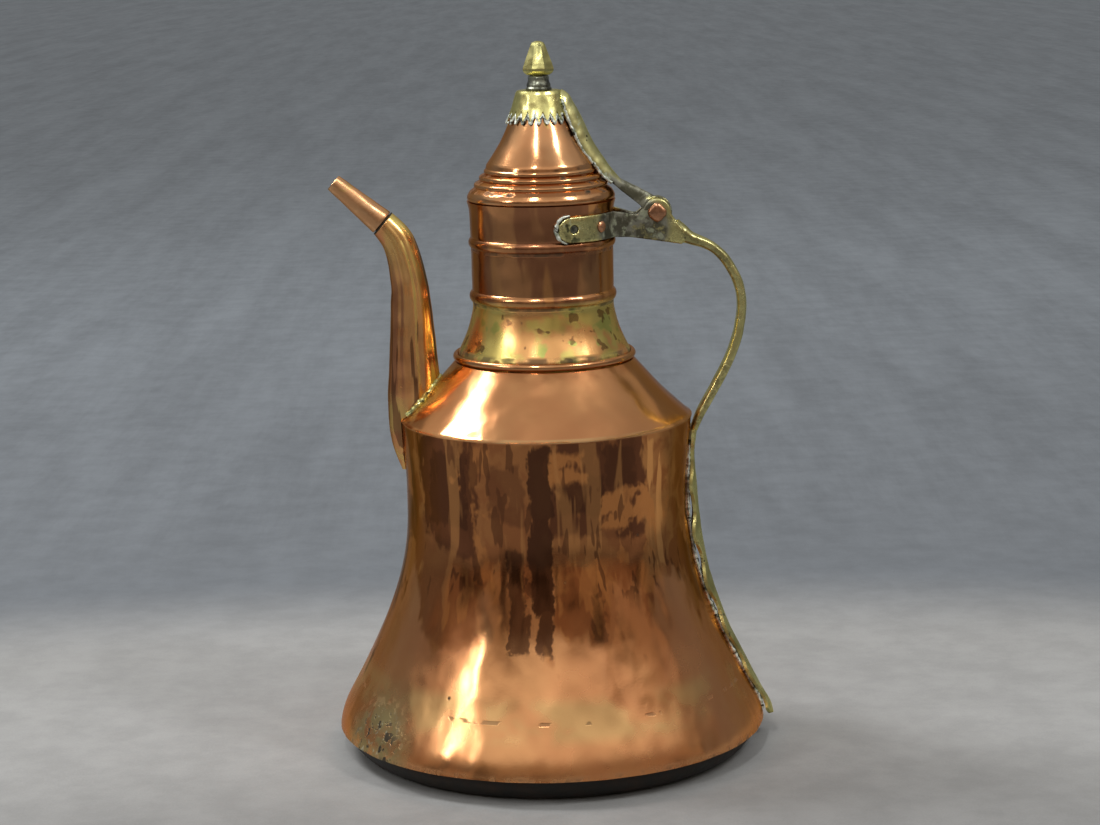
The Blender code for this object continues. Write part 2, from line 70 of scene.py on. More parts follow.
# ================================================================ curves and noise
def smooth_curve(points, substeps):
    """Catmull-Rom curve through tuples of any length."""
    curve = []
    for i in range(len(points) - 1):
        before = points[max(i - 1, 0)]
        start = points[i]
        end = points[i + 1]
        after = points[min(i + 2, len(points) - 1)]
        for k in range(substeps):
            t = k / substeps
            curve.append(tuple(
                0.5 * (2 * b + (c - a) * t + (2 * a - 5 * b + 4 * c - d) * t ** 2
                       + (3 * b - a - 3 * c + d) * t ** 3)
                for a, b, c, d in zip(before, start, end, after)))
    curve.append(tuple(points[-1]))
    return curve


def neighbours(points, i):
    """The points before and after point i of a path, or the end point itself."""
    return points[max(i - 1, 0)], points[min(i + 1, len(points) - 1)]


def densify(outline, spacing):
    """Add points along the straight runs of an outline so that none is longer than spacing."""
    dense = []
    for start, end in zip(outline, outline[1:]):
        length = math.dist(start, end)
        pieces = max(1, round(length / spacing))
        for k in range(pieces):
            t = k / pieces
            dense.append(tuple(a + (b - a) * t for a, b in zip(start, end)))
    dense.append(tuple(outline[-1]))
    return dense


def arc(centre, radius, start, end, count):
    """Points (r, z) of a round stretch, angles in degrees."""
    angles = [math.radians(start + (end - start) * i / count) for i in range(count + 1)]
    return [(centre[0] + radius * math.cos(a), centre[1] + radius * math.sin(a)) for a in angles]


def ripple(point, across, along, seed=0.0):
    """Smooth noise whose waves are across mm wide round the pot and along mm tall."""
    return noise.noise(Vector((point.x / across + seed, point.y / across - seed, point.z / along)))


def vessel_dent(point):
    """Outward shift in mm of the raised copper: planishing flutes, dents and small waves."""
    flutes = 0.42 * ripple(point, 15.0, 70.0)
    broad = 0.55 * ripple(point, 52.0, 45.0, 3.1)
    small = 0.10 * ripple(point, 9.0, 14.0, 7.7)
    return flutes + broad + small


def shoulder_dent(point):
    """The same dents, fading out towards the neck's round foot."""
    return vessel_dent(point) * min(1.0, max(0.0, (NECK_FOOT_HEIGHT - point.z) / DENT_FADE))


def neck_dent(point):
    """Outward shift of the neck: slight waves and the lap of its vertical seam."""
    angle = math.degrees(math.atan2(point.x, -point.y))
    lap = 0.32 / (1 + math.exp(-(angle - SEAM_ANGLE) * 2.2)) if -90 < angle < 150 else 0.0
    lap *= max(0.0, 1 - max(0.0, angle - SEAM_ANGLE) / 60)
    return lap + 0.16 * ripple(point, 12.0, 40.0, 1.3) + 0.10 * ripple(point, 7.0, 8.0, 5.0)


def lid_dent(point):
    return 0.12 * ripple(point, 11.0, 30.0, 2.2) + 0.06 * ripple(point, 6.0, 6.0, 4.0)


# ================================================================ mesh building
def make_object(name, mesh, material, smooth_angle=35.0):
    mesh.shade_smooth()
    mesh.set_sharp_from_angle(angle=math.radians(smooth_angle))
    piece = bpy.data.objects.new(name, mesh)
    bpy.context.scene.collection.objects.link(piece)
    mesh.materials.append(material)
    return piece


def finish_bmesh(name, bm, material, smooth_angle=35.0):
    """Weld, orient and scale a bmesh made in millimetres, and link it as a piece."""
    bmesh.ops.remove_doubles(bm, verts=bm.verts, dist=1e-4)
    bmesh.ops.recalc_face_normals(bm, faces=bm.faces)
    bm.transform(Matrix.Scale(MM, 4))
    mesh = bpy.data.meshes.new(name)
    bm.to_mesh(mesh)
    bm.free()
    return make_object(name, mesh, material, smooth_angle)


def skin(name, rings, material, loop=False, smooth_angle=35.0):
    """Skin rings of equally many points; cap both ends, or close the rings into a loop."""
    bm = bmesh.new()
    rows = [[bm.verts.new(point) for point in ring] for ring in rings]
    count = len(rows[0])
    pairs = list(zip(rows, rows[1:]))
    if loop:
        pairs.append((rows[-1], rows[0]))
    for lower, upper in pairs:
        for i in range(count):
            j = (i + 1) % count
            bm.faces.new((lower[i], lower[j], upper[j], upper[i]))
    if not loop:
        bm.faces.new(rows[0])
        bm.faces.new(rows[-1])
    return finish_bmesh(name, bm, material, smooth_angle)


def turned(name, outline, material, steps, shift=None, loop=True, smooth_angle=35.0):
    """Spin an outline of (radius, height); shift(point) moves each point along its radius."""
    bm = bmesh.new()
    rows = []
    for radius, height in outline:
        if radius < 1e-6:
            rows.append([bm.verts.new((0.0, 0.0, height))])
            continue
        row = []
        for i in range(steps):
            angle = 2 * math.pi * i / steps
            point = Vector((radius * math.cos(angle), radius * math.sin(angle), height))
            if shift is not None:
                point += Vector((point.x, point.y, 0.0)) * (shift(point) / radius)
            row.append(bm.verts.new(point))
        rows.append(row)
    pairs = list(zip(rows, rows[1:]))
    if loop:
        pairs.append((rows[-1], rows[0]))
    for upper, lower in pairs:
        for i in range(steps):
            j = (i + 1) % steps
            corners = [upper[i % len(upper)], upper[j % len(upper)],
                       lower[j % len(lower)], lower[i % len(lower)]]
            bm.faces.new(list(dict.fromkeys(corners)))
    return finish_bmesh(name, bm, material, smooth_angle)


def bar_section(sides, squareness):
    """Unit outline between an ellipse (2) and a rectangle (large squareness)."""
    points = []
    for i in range(sides):
        angle = 2 * math.pi * i / sides
        c = math.cos(angle)
        s = math.sin(angle)
        points.append((math.copysign(abs(c) ** (2 / squareness), c),
                       math.copysign(abs(s) ** (2 / squareness), s)))
    return points


def bar_rings(stations, section):
    """Rings along a path in the XZ plane; a station is x, z, half thickness, half width."""
    rings = []
    for i, (x, z, thick, width) in enumerate(stations):
        before, after = neighbours(stations, i)
        heading = Vector((after[0] - before[0], 0.0, after[1] - before[1])).normalized()
        outward = Vector((-heading.z, 0.0, heading.x))
        middle = Vector((x, 0.0, z))
        rings.append([middle + outward * (up * thick) + Vector((0.0, across * width, 0.0))
                      for across, up in section])
    return rings


def bar(name, start, end, radius, sides=24):
    """Plain round cutter or core between two points in millimetres."""
    bm = bmesh.new()
    bmesh.ops.create_cone(bm, cap_ends=True, segments=sides, radius1=radius, radius2=radius,
                          depth=(end - start).length)
    turn = (end - start).to_track_quat("Z", "Y").to_matrix().to_4x4()
    bm.transform(Matrix.Translation((start + end) / 2) @ turn)
    return finish_bmesh(name, bm, helper_material())


def helper_material():
    found = bpy.data.materials.get("helper")
    return found or bpy.data.materials.new("helper")


def dress(piece, material):
    """Make material the piece's only one."""
    piece.data.materials.clear()
    piece.data.materials.append(material)


def settle(piece):
    """Apply a piece's modifiers."""
    depsgraph = bpy.context.evaluated_depsgraph_get()
    mesh = bpy.data.meshes.new_from_object(piece.evaluated_get(depsgraph))
    piece.modifiers.clear()
    piece.data = mesh


def combine(target, others, operation):
    """Boolean the others into or out of target, and remove them."""
    for other in others:
        modifier = target.modifiers.new(operation, "BOOLEAN")
        modifier.operation = operation
        modifier.solver = "EXACT"
        modifier.object = other
    settle(target)
    for other in others:
        bpy.data.objects.remove(other, do_unlink=True)


def cast_together(piece, voxel, rounds, material):
    """Voxel remesh in mm, then smooth, so that joined bars flow together like a casting."""
    remesh = piece.modifiers.new("remesh", "REMESH")
    remesh.mode = "VOXEL"
    remesh.voxel_size = voxel * MM
    smooth = piece.modifiers.new("smooth", "SMOOTH")
    smooth.factor = 0.5
    smooth.iterations = rounds
    settle(piece)
    dress(piece, material)
    piece.data.shade_smooth()


def push_points(piece, shift):
    """Move each point along its normal by shift(point in mm), in mm."""
    mesh = piece.data
    moves = [shift(vertex.co / MM) * MM for vertex in mesh.vertices]
    for vertex, normal, move in zip(mesh.vertices, [n.vector.copy() for n in mesh.vertex_normals], moves):
        vertex.co += normal * move


def place(piece, body, slot, *nodes):
    """Hang a piece on the empty of the body it rides on and hide the CAD nodes it stands for; slot, its
    finish, is not used.
    """
    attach(piece, body)
    if nodes:
        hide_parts(*nodes)
    return piece


# ================================================================ materials
class Nodes:
    """Small helper that builds a node tree."""

    def __init__(self, tree):
        self.tree = tree

    def add(self, kind, settings=None, inputs=None):
        node = self.tree.nodes.new(kind)
        for key, value in (settings or {}).items():
            setattr(node, key, value)
        for key, value in (inputs or {}).items():
            self.feed(node.inputs[key], value)
        return node

    def feed(self, socket, value):
        if isinstance(value, bpy.types.NodeSocket):
            self.tree.links.new(value, socket)
        else:
            socket.default_value = value

    def remap(self, value, low, high, out_low=0.0, out_high=1.0):
        """Smooth step from out_low to out_high while value goes from low to high."""
        node = self.add("ShaderNodeMapRange", {"interpolation_type": "SMOOTHSTEP", "clamp": True}, {
            "Value": value, "From Min": low, "From Max": high, "To Min": out_low, "To Max": out_high})
        return node.outputs["Result"]

    def math(self, operation, first, second=0.0):
        node = self.add("ShaderNodeMath", {"operation": operation, "use_clamp": False})
        self.feed(node.inputs[0], first)
        self.feed(node.inputs[1], second)
        return node.outputs[0]

    def times(self, *values):
        result = values[0]
        for value in values[1:]:
            result = self.math("MULTIPLY", result, value)
        return result

    def plus(self, *values):
        result = values[0]
        for value in values[1:]:
            result = self.math("ADD", result, value)
        return result

    def either(self, first, second):
        return self.math("MAXIMUM", first, second)

    def mix(self, factor, first, second):
        """Blend two colours."""
        node = self.add("ShaderNodeMix", {"data_type": "RGBA", "clamp_factor": True})
        self.feed(node.inputs[0], factor)
        self.feed(node.inputs[6], first if isinstance(first, bpy.types.NodeSocket) else (*first, 1.0))
        self.feed(node.inputs[7], second if isinstance(second, bpy.types.NodeSocket) else (*second, 1.0))
        return node.outputs[2]

    def blend(self, factor, first, second):
        """Blend two numbers."""
        node = self.add("ShaderNodeMix", {"data_type": "FLOAT", "clamp_factor": True})
        self.feed(node.inputs[0], factor)
        self.feed(node.inputs[2], first)
        self.feed(node.inputs[3], second)
        return node.outputs[0]

    def vector(self, operation, *values):
        node = self.add("ShaderNodeVectorMath", {"operation": operation})
        for socket, value in zip(node.inputs, values):
            self.feed(socket, value)
        return node.outputs["Value" if operation in ("DISTANCE", "DOT_PRODUCT") else "Vector"]


class Graph(Nodes):
    """One material; positions are those of the pot, so masks stay where they are in every view."""

    def __init__(self, name):
        self.material = bpy.data.materials.new(name)
        self.material.use_nodes = True
        super().__init__(self.material.node_tree)
        self.shader = self.tree.nodes["Principled BSDF"]
        self.position = self.add("ShaderNodeTexCoord").outputs["Object"]

    def stretched(self, scale):
        node = self.add("ShaderNodeMapping", None, {"Vector": self.position, "Scale": scale})
        return node.outputs["Vector"]

    def cloud(self, scale, detail=3.0, rough=0.55, vector=None):
        """Noise between 0 and 1; scale is features per metre."""
        node = self.add("ShaderNodeTexNoise", None, {
            "Vector": vector or self.position, "Scale": scale, "Detail": detail, "Roughness": rough})
        return node.outputs["Fac"]

    def blotch(self, low, high, *noise_values):
        """Mask of the places where a cloud's noise is above the step from low to high."""
        return self.remap(self.cloud(*noise_values), low, high)

    def cells(self, scale, vector=None, smooth=None):
        inputs = {"Vector": vector or self.position, "Scale": scale}
        if smooth is not None:
            inputs["Smoothness"] = smooth
        settings = {"feature": "F1" if smooth is None else "SMOOTH_F1"}
        return self.add("ShaderNodeTexVoronoi", settings, inputs).outputs["Distance"]

    def paint(self, colour, tint, *masks):
        """Lay a tint over a colour where all the masks are."""
        return self.mix(self.times(*masks), colour, tint)

    def axis(self, name):
        node = self.add("ShaderNodeSeparateXYZ", None, {"Vector": self.position})
        return node.outputs[name]

    def near(self, centre, radius, softness):
        """1 inside a ball given in mm, falling to 0 over softness."""
        away = self.vector("DISTANCE", self.position, tuple(c * MM for c in centre))
        return self.remap(away, radius * MM, (radius + softness) * MM, 1.0, 0.0)

    def band(self, value, low, high, softness):
        """1 where value (metres) lies between low and high (mm)."""
        rise = self.remap(value, (low - softness) * MM, low * MM)
        fall = self.remap(value, high * MM, (high + softness) * MM, 1.0, 0.0)
        return self.times(rise, fall)

    def bump(self, height, distance, strength=1.0, normal=None):
        node = self.add("ShaderNodeBump", None, {"Height": height, "Distance": distance * MM,
                                                 "Strength": strength})
        if normal is not None:
            self.feed(node.inputs["Normal"], normal)
        return node.outputs["Normal"]

    def done(self, colour, roughness, metallic, normal):
        self.feed(self.shader.inputs["Base Color"], colour)
        self.feed(self.shader.inputs["Roughness"], roughness)
        self.feed(self.shader.inputs["Metallic"], metallic)
        self.feed(self.shader.inputs["Normal"], normal)
        return self.material


COPPER_TAN = (0.72, 0.350, 0.148)
COPPER_SALMON = (0.68, 0.300, 0.128)
COPPER_BROWN = (0.40, 0.155, 0.060)
# dark brown: real tarnish on the neck's foot, a painted dark reflection on the body
DARK_TARNISH_AND_REFLECTION = (0.155, 0.060, 0.028)
GOLD_GREEN = (0.58, 0.47, 0.12)
VERDIGRIS = (0.22, 0.24, 0.12)
SOLDER_GREY = (0.62, 0.66, 0.58)
BRASS = (0.74, 0.67, 0.27)
BRASS_OLIVE = (0.56, 0.52, 0.20)
BRASS_DARK = (0.24, 0.22, 0.10)
GRIME = (0.030, 0.028, 0.020)
COPPER_EDGE = (0.95, 0.62, 0.40, 1.0)
BRASS_EDGE = (0.95, 0.90, 0.62, 1.0)


def pits(g, scale, size, share):
    """Scattered small pits: 1 at their middle. size is in cell widths, share 0 to 1."""
    spot = g.remap(g.cells(scale), size * 0.45, size, 1.0, 0.0)
    where = g.remap(g.cloud(scale * 0.35, 1.0), 1.0 - share, 1.04 - share)
    return g.times(spot, where)


def copper_surface(g, colour, dirt, patina, dullness=0.0, hammer=1.0):
    """Finish a copper graph: hammer marks, scratches, dirt in the hollows and uneven polish."""
    g.shader.inputs["Specular Tint"].default_value = COPPER_EDGE
    dimples = g.cells(95.0, g.stretched((1.0, 1.0, 0.72)), 0.5)
    waves = g.cloud(34.0, 2.0, 0.5, g.stretched((1.0, 1.0, 0.30)))
    scratches = g.cloud(420.0, 2.0, 0.6, g.stretched((1.0, 1.0, 0.12)))
    grain = g.cloud(1100.0, 2.0, 0.5)
    normal = g.bump(waves, 1.2 * hammer, 0.8)
    normal = g.bump(dimples, 0.35 * hammer, 0.45, normal)
    normal = g.bump(scratches, 0.025, 0.5, normal)
    normal = g.bump(g.plus(g.times(grain, 0.12), g.times(dirt, -1.0)), 0.25, 0.55, normal)
    polish = g.remap(g.cloud(26.0, 4.0, 0.6), 0.35, 0.7, 0.10, 0.20)
    roughness = g.plus(polish, g.times(patina, 0.14), g.times(dirt, 0.4), dullness)
    colour = g.mix(dirt, colour, GRIME)
    metallic = g.plus(1.0, g.times(dirt, -0.7), g.times(patina, -0.10))
    return g.done(colour, roughness, metallic, normal)


def warped(g, scale, amount, stretch):
    """Position pushed about by noise, which gives ragged, painterly outlines."""
    space = g.stretched(stretch)
    push = g.add("ShaderNodeTexNoise", None, {"Vector": space, "Scale": scale, "Detail": 3.0})
    return g.vector("MULTIPLY_ADD", push.outputs["Color"], (amount * MM,) * 3, space)


def ragged(g, scale, amount):
    """Position shaken by noise (amount in mm), so that masks made from it get torn outlines."""
    push = g.add("ShaderNodeTexNoise", None, {"Vector": g.stretched((1.0, 1.0, 0.55)), "Scale": scale,
                                              "Detail": 4.0, "Roughness": 0.65})
    centred = g.vector("SUBTRACT", push.outputs["Color"], (0.5, 0.5, 0.5))
    shaken = g.vector("MULTIPLY_ADD", centred, (amount * MM,) * 3, g.position)
    return g.add("ShaderNodeSeparateXYZ", None, {"Vector": shaken})


def patches(g, place_at, boxes, softness=1.2):
    """Union of masks; each box is low x, high x, low z, high z in mm and a strength."""
    total = 0.0
    for low_x, high_x, low_z, high_z, strength in boxes:
        mask = g.times(g.band(place_at.outputs["X"], low_x, high_x, softness),
                       g.band(place_at.outputs["Z"], low_z, high_z, softness * 2), strength)
        total = mask if isinstance(total, float) else g.either(total, mask)
    return total


def make_body_copper():
    """Bell: a darker brown upper wall, partly tarnish and partly a painted reflection of the dark room,
    with painted dark and light reflections and painted highlight streaks on the side towards the viewer;
    satin salmon copper on the flare.
    """
    g = Graph("hammered copper body")
    height = g.axis("Z")
    tone = g.cloud(22.0, 4.0, 0.55, g.stretched((1.0, 1.0, 0.45)))
    flare = g.mix(g.remap(tone, 0.38, 0.64), COPPER_TAN, COPPER_SALMON)
    upright = warped(g, 60.0, 14.0, (1.0, 1.0, 0.22))
    streak_noise = g.cloud(30.0, 3.0, 0.6, upright)
    blocks = g.cloud(46.0, 3.0, 0.62, warped(g, 80.0, 12.0, (1.0, 1.0, 0.75)))
    # The side towards the viewer of the main view, where the painted reflections lie.
    near_side = g.remap(g.axis("Y"), -0.022, -0.034)
    # Darker brown upper wall with a ragged lower edge: partly tarnish, partly a painted reflection of the
    # dark room.
    reach = g.plus(height, g.times(g.plus(streak_noise, -0.5), 0.20), g.times(g.plus(blocks, -0.5), 0.05))
    upper = g.times(g.remap(reach, 0.082, 0.100), g.remap(height, 0.1700, 0.1712, 1.0, 0.0))
    ground = g.mix(g.remap(blocks, 0.44, 0.54), (0.56, 0.245, 0.085), (0.40, 0.150, 0.055))
    colour = g.mix(upper, flare, ground)
    coarse = ragged(g, 42.0, 26.0)
    fine = ragged(g, 120.0, 13.0)
    broken = g.cloud(60.0, 3.0, 0.62, warped(g, 90.0, 10.0, (1.0, 1.0, 0.6)))
    # Mid brown, dark brown and near black patches on the side towards the viewer: painted reflections of
    # the room.
    dull = patches(g, coarse, ((-64, -38, 74, 124, 0.8), (-38, -8, 116, 168, 0.55), (4, 46, 110, 130, 0.6),
                               (21, 28, 72, 98, 0.45), (-24, -10, 82, 118, 0.5)), 3.0)
    brown = patches(g, coarse, ((-62, -36, 118, 172, 1.0), (2, 47, 124, 172, 1.0),
                                (-28, -14, 132, 158, 0.6)), 2.0)
    brown = g.times(brown, g.remap(broken, 0.40, 0.46, 0.35, 1.0))
    black = patches(g, fine, ((-8, 2, 88, 168, 0.95), (-19, -12, 70, 116, 0.8), (-5, 1, 68, 112, 0.9),
                              (22, 27, 74, 92, 0.5), (-57, -40, 128, 162, 0.85), (6, 26, 136, 152, 0.8),
                              (28, 42, 148, 166, 0.6)), 1.4)
    # Lighter tan patches among them: painted reflections too.
    islands = patches(g, fine, ((3, 18, 152, 163, 0.9), (27, 58, 128, 144, 0.9), (36, 52, 110, 124, 0.8),
                                (-54, -44, 146, 154, 0.7), (-36, -30, 104, 166, 0.6)), 2.0)
    islands = g.times(islands, g.remap(broken, 0.56, 0.50))
    # Away from the viewer the brown and black follow streaks in the upper wall: partly stain, partly
    # painted reflection.
    stain_and_reflection = g.remap(g.plus(g.times(streak_noise, 0.62), g.times(blocks, 0.38)), 0.49, 0.52)
    brown = g.blend(near_side, g.times(upper, stain_and_reflection, 0.9), brown)
    dull = g.times(dull, near_side)
    black = g.blend(near_side, g.times(upper, g.remap(streak_noise, 0.56, 0.59), 0.8), black)
    under_crease = g.remap(height, 0.1702, 0.1714, 1.0, 0.0)
    colour = g.paint(colour, COPPER_BROWN, dull, under_crease)
    colour = g.paint(colour, (0.180, 0.068, 0.032), brown, under_crease)
    colour = g.paint(colour, (0.105, 0.042, 0.022), black, under_crease)
    colour = g.paint(colour, (0.66, 0.265, 0.085), islands, near_side)
    # Thin bright orange streaks: painted highlights.
    highlight_wisps = g.blotch(0.56, 0.60, 80.0, 3.0, 0.6, g.stretched((1.0, 1.0, 0.10)))
    sheen = patches(g, coarse, ((44, 60, 104, 168, 1.0), (-36, -30, 90, 168, 0.4)), 2.0)
    colour = g.mix(g.times(highlight_wisps, g.either(g.times(sheen, near_side), g.times(upper, 0.35))), colour,
                   (0.82, 0.38, 0.13))
    # Dark wiggly lines on the side towards the viewer: painted reflection.
    squiggles = g.blotch(0.60, 0.63, 150.0, 2.0, 0.6, warped(g, 90.0, 9.0, (1.0, 1.0, 0.2)))
    squiggles = g.times(squiggles, g.remap(height, 0.085, 0.10), near_side, 0.7)
    colour = g.mix(squiggles, colour, DARK_TARNISH_AND_REFLECTION)
    girdle = g.times(g.band(height, 34.0, 44.0, 8.0), g.blotch(0.44, 0.60, 26.0, 3.0))
    wash = g.times(girdle, 0.40)
    colour = g.mix(wash, colour, (0.50, 0.42, 0.17))
    cracks = g.times(g.band(height, 37.5, 38.6, 0.5), g.blotch(0.56, 0.62, 80.0, 2.0))
    patch = g.times(g.near((-88.0, -60.0, 18.0), 12.0, 26.0), g.blotch(0.34, 0.56, 110.0, 4.0))
    colour = g.paint(colour, (0.30, 0.29, 0.14), patch, 0.8)
    crust = g.times(g.near((-88.0, -60.0, 16.0), 12.0, 20.0), g.blotch(0.55, 0.60, 230.0, 3.0))
    pale = g.times(g.near((-88.0, -60.0, 16.0), 8.0, 18.0), g.blotch(0.60, 0.66, 310.0, 3.0))
    colour = g.paint(colour, (0.62, 0.60, 0.42), pale, 0.8)
    edge_soot = g.times(g.remap(height, 0.0125, 0.016, 1.0, 0.0), g.blotch(0.45, 0.7, 180.0))
    dirt = g.either(g.either(pits(g, 52.0, 0.075, 0.42), crust), g.either(g.times(edge_soot, 0.7),
                                                                        g.times(cracks, 0.5)))
    satin = g.remap(height, 0.055, 0.10, 0.09, 0.02)
    return copper_surface(g, colour, dirt, g.either(wash, patch), satin, 1.7)


def make_shoulder_copper():
    """Shoulder cone: an even, well-polished tan with a few pits and green by the spout's root."""
    g = Graph("hammered copper shoulder")
    tone = g.cloud(20.0, 4.0, 0.55)
    colour = g.mix(g.remap(tone, 0.42, 0.66), COPPER_TAN, COPPER_SALMON)
    root = g.times(g.near((-60.0, -10.0, 186.0), 11.0, 14.0), g.blotch(0.35, 0.6, 90.0, 3.0))
    colour = g.paint(colour, GOLD_GREEN, root, 0.7)
    rim = g.times(g.band(g.axis("Z"), 171.0, 172.2, 0.8), g.blotch(0.42, 0.58, 40.0, 3.0))
    colour = g.paint(colour, (0.92, 0.58, 0.26), rim, 0.6)
    shade = g.times(g.remap(g.axis("X"), 0.012, 0.050), g.remap(g.axis("Y"), 0.02, -0.02), 0.55)
    colour = g.mix(shade, colour, (0.40, 0.190, 0.075))
    foot = g.times(g.remap(g.axis("Z"), 0.1945, 0.200), g.blotch(0.4, 0.6, 60.0))
    colour = g.paint(colour, COPPER_BROWN, foot, 0.6)
    return copper_surface(g, colour, pits(g, 60.0, 0.08, 0.4), root, 0.04, 1.3)


def make_neck_copper():
    """Neck: browned copper above with painted orange reflection streaks, green and gold clouds on the
    flared foot, dark under the beads, partly grime and partly painted shadow.
    """
    g = Graph("browned copper neck")
    height = g.axis("Z")
    streaks = g.cloud(46.0, 3.0, 0.6, warped(g, 80.0, 8.0, (1.0, 1.0, 0.25)))
    colour = g.mix(g.remap(streaks, 0.44, 0.54), (0.52, 0.245, 0.105), (0.34, 0.145, 0.070))
    # Bright orange streaks up the neck: painted reflections.
    reflection_streaks = g.blotch(0.60, 0.66, 60.0, 2.0, 0.5, g.stretched((1.0, 1.0, 0.12)))
    colour = g.paint(colour, (0.80, 0.38, 0.13), reflection_streaks, 0.55)
    foot = g.remap(height, 0.2345, 0.2300)
    cloud = g.cloud(50.0, 3.0, 0.55)
    gold = g.mix(g.remap(cloud, 0.42, 0.54), (0.80, 0.42, 0.16), (0.70, 0.56, 0.17))
    gold = g.mix(g.blotch(0.58, 0.66, 85.0, 2.0), gold, (0.50, 0.50, 0.14))
    gold = g.mix(g.times(g.blotch(0.60, 0.64, 130.0, 2.0), 0.7), gold, DARK_TARNISH_AND_REFLECTION)
    colour = g.mix(foot, colour, gold)
    # Dark bands below the beads and above the foot ring: partly grime in the crevices, partly painted
    # shadow under the beads.
    under = g.either(g.band(height, 229.8, 231.0, 0.8), g.band(height, 256.9, 258.2, 0.8))
    under = g.either(under, g.band(height, 204.0, 206.5, 1.5))
    under = g.times(under, g.blotch(0.35, 0.6, 120.0))
    dirt = g.either(g.times(under, 0.8), pits(g, 90.0, 0.09, 0.35))
    return copper_surface(g, colour, dirt, g.times(foot, 0.4), 0.05, 1.0)


def make_lid_copper():
    """Lid: bright turned copper, browner in the steps' grooves."""
    g = Graph("turned copper lid")
    height = g.axis("Z")
    tone = g.cloud(36.0, 3.0, 0.6)
    colour = g.mix(g.remap(tone, 0.40, 0.62), (0.62, 0.33, 0.155), (0.58, 0.275, 0.120))
    grooves = g.either(g.band(height, 290.6, 291.4, 0.7), g.band(height, 293.9, 294.8, 0.7))
    grooves = g.either(grooves, g.band(height, 286.4, 287.6, 0.8))
    colour = g.paint(colour, COPPER_BROWN, grooves, 0.7)
    blush = g.times(g.remap(height, 0.300, 0.318), g.blotch(0.42, 0.62, 70.0, 3.0))
    colour = g.paint(colour, (0.62, 0.27, 0.12), blush, 0.5)
    spots = g.times(g.remap(height, 0.316, 0.320), g.blotch(0.58, 0.64, 210.0, 2.0))
    colour = g.paint(colour, GOLD_GREEN, spots, 0.7)
    dirt = g.either(pits(g, 110.0, 0.09, 0.35), g.times(grooves, g.blotch(0.5, 0.7, 150.0)))
    return copper_surface(g, colour, dirt, spots, 0.04, 0.6)


def along_sleeve(g):
    """Distance in metres along the axis of the spout's end piece."""
    return g.vector("DOT_PRODUCT", g.position, SLEEVE_WAY)


def make_spout_copper():
    """Spout: long dark creases, green-gold towards the pot and a dark seam along the inner edge."""
    g = Graph("hammered copper spout")
    height = g.axis("Z")
    facing = g.add("ShaderNodeTexCoord").outputs["Normal"]
    facing = g.add("ShaderNodeSeparateXYZ", None, {"Vector": facing}).outputs["X"]
    tone = g.cloud(40.0, 3.0, 0.6, g.stretched((1.0, 1.0, 0.3)))
    colour = g.mix(g.remap(tone, 0.42, 0.58), (1.0, 0.52, 0.20), (0.80, 0.37, 0.15))
    browned = g.remap(facing, -0.25, -0.60)
    colour = g.paint(colour, (0.50, 0.20, 0.10), browned, 0.8)
    inner_side = g.remap(facing, 0.15, 0.55)
    bend = g.remap(height, 0.235, 0.262)
    cloudy = g.blotch(0.42, 0.54, 60.0, 3.0, 0.6, g.stretched((1.0, 1.0, 0.3)))
    greens = g.times(cloudy, g.either(inner_side, g.times(bend, 0.45)))
    heel = g.times(g.remap(height, 0.192, 0.176), g.blotch(0.40, 0.58, 60.0, 3.0))
    greens = g.either(greens, g.times(heel, 0.6))
    colour = g.paint(colour, (0.64, 0.55, 0.17), greens, 0.85)
    lines = g.cloud(210.0, 2.0, 0.5, g.stretched((1.0, 1.0, 0.035)))
    crease = g.times(g.remap(lines, 0.575, 0.60), g.remap(height, 0.262, 0.250))
    colour = g.paint(colour, (0.20, 0.085, 0.045), crease, 0.8)
    seam = g.times(g.band(facing, 900.0, 965.0, 30.0), g.remap(height, 0.195, 0.203))
    # Dark ring just below the sleeve's lower edge: painted shadow line.
    gap = g.band(along_sleeve(g), 237.9, 240.0, 0.4)
    root = g.times(g.near((-66.0, 0.0, 190.0), 7.0, 6.0), g.blotch(0.44, 0.56, 110.0, 3.0))
    joints = g.either(g.times(seam, 0.9), g.either(gap, g.times(root, 0.6)))
    dirt = g.either(pits(g, 100.0, 0.08, 0.3), joints)
    return copper_surface(g, colour, dirt, greens, 0.06, 0.8)


def make_sleeve_copper():
    g = Graph("dull copper sleeve")
    tone = g.cloud(75.0, 4.0, 0.6, g.stretched((0.5, 1.0, 0.7)))
    colour = g.mix(g.remap(tone, 0.40, 0.60), (0.90, 0.55, 0.30), (0.60, 0.32, 0.155))
    olive = g.blotch(0.56, 0.64, 120.0, 3.0, 0.6)
    colour = g.paint(colour, (0.50, 0.36, 0.12), olive, 0.5)
    # Dark ring round the sleeve's lower lip: painted shadow line where it overlaps the tube.
    edge = g.times(g.remap(along_sleeve(g), 0.2392, 0.2388), 0.9)
    dirt = g.either(pits(g, 160.0, 0.10, 0.4), edge)
    return copper_surface(g, colour, dirt, g.remap(tone, 0.5, 0.7), 0.12, 0.35)


def make_inner_copper():
    """Unpolished inside and underside parts."""
    g = Graph("dull copper inside")
    tone = g.cloud(50.0, 4.0, 0.6)
    colour = g.mix(g.remap(tone, 0.35, 0.65), (0.36, 0.18, 0.10), (0.16, 0.08, 0.045))
    return copper_surface(g, colour, pits(g, 90.0, 0.12, 0.5), g.remap(tone, 0.3, 0.5, 0.4, 0.7), 0.18, 0.6)


def make_soot():
    """The pan, blackened by the fire."""
    g = Graph("sooted pan")
    tone = g.cloud(60.0, 5.0, 0.65)
    colour = g.mix(g.remap(tone, 0.4, 0.7), (0.010, 0.009, 0.007), (0.035, 0.022, 0.015))
    normal = g.bump(g.cloud(240.0, 4.0, 0.6), 0.4, 0.7)
    return g.done(colour, g.remap(tone, 0.3, 0.7, 0.5, 0.8), 0.15, normal)


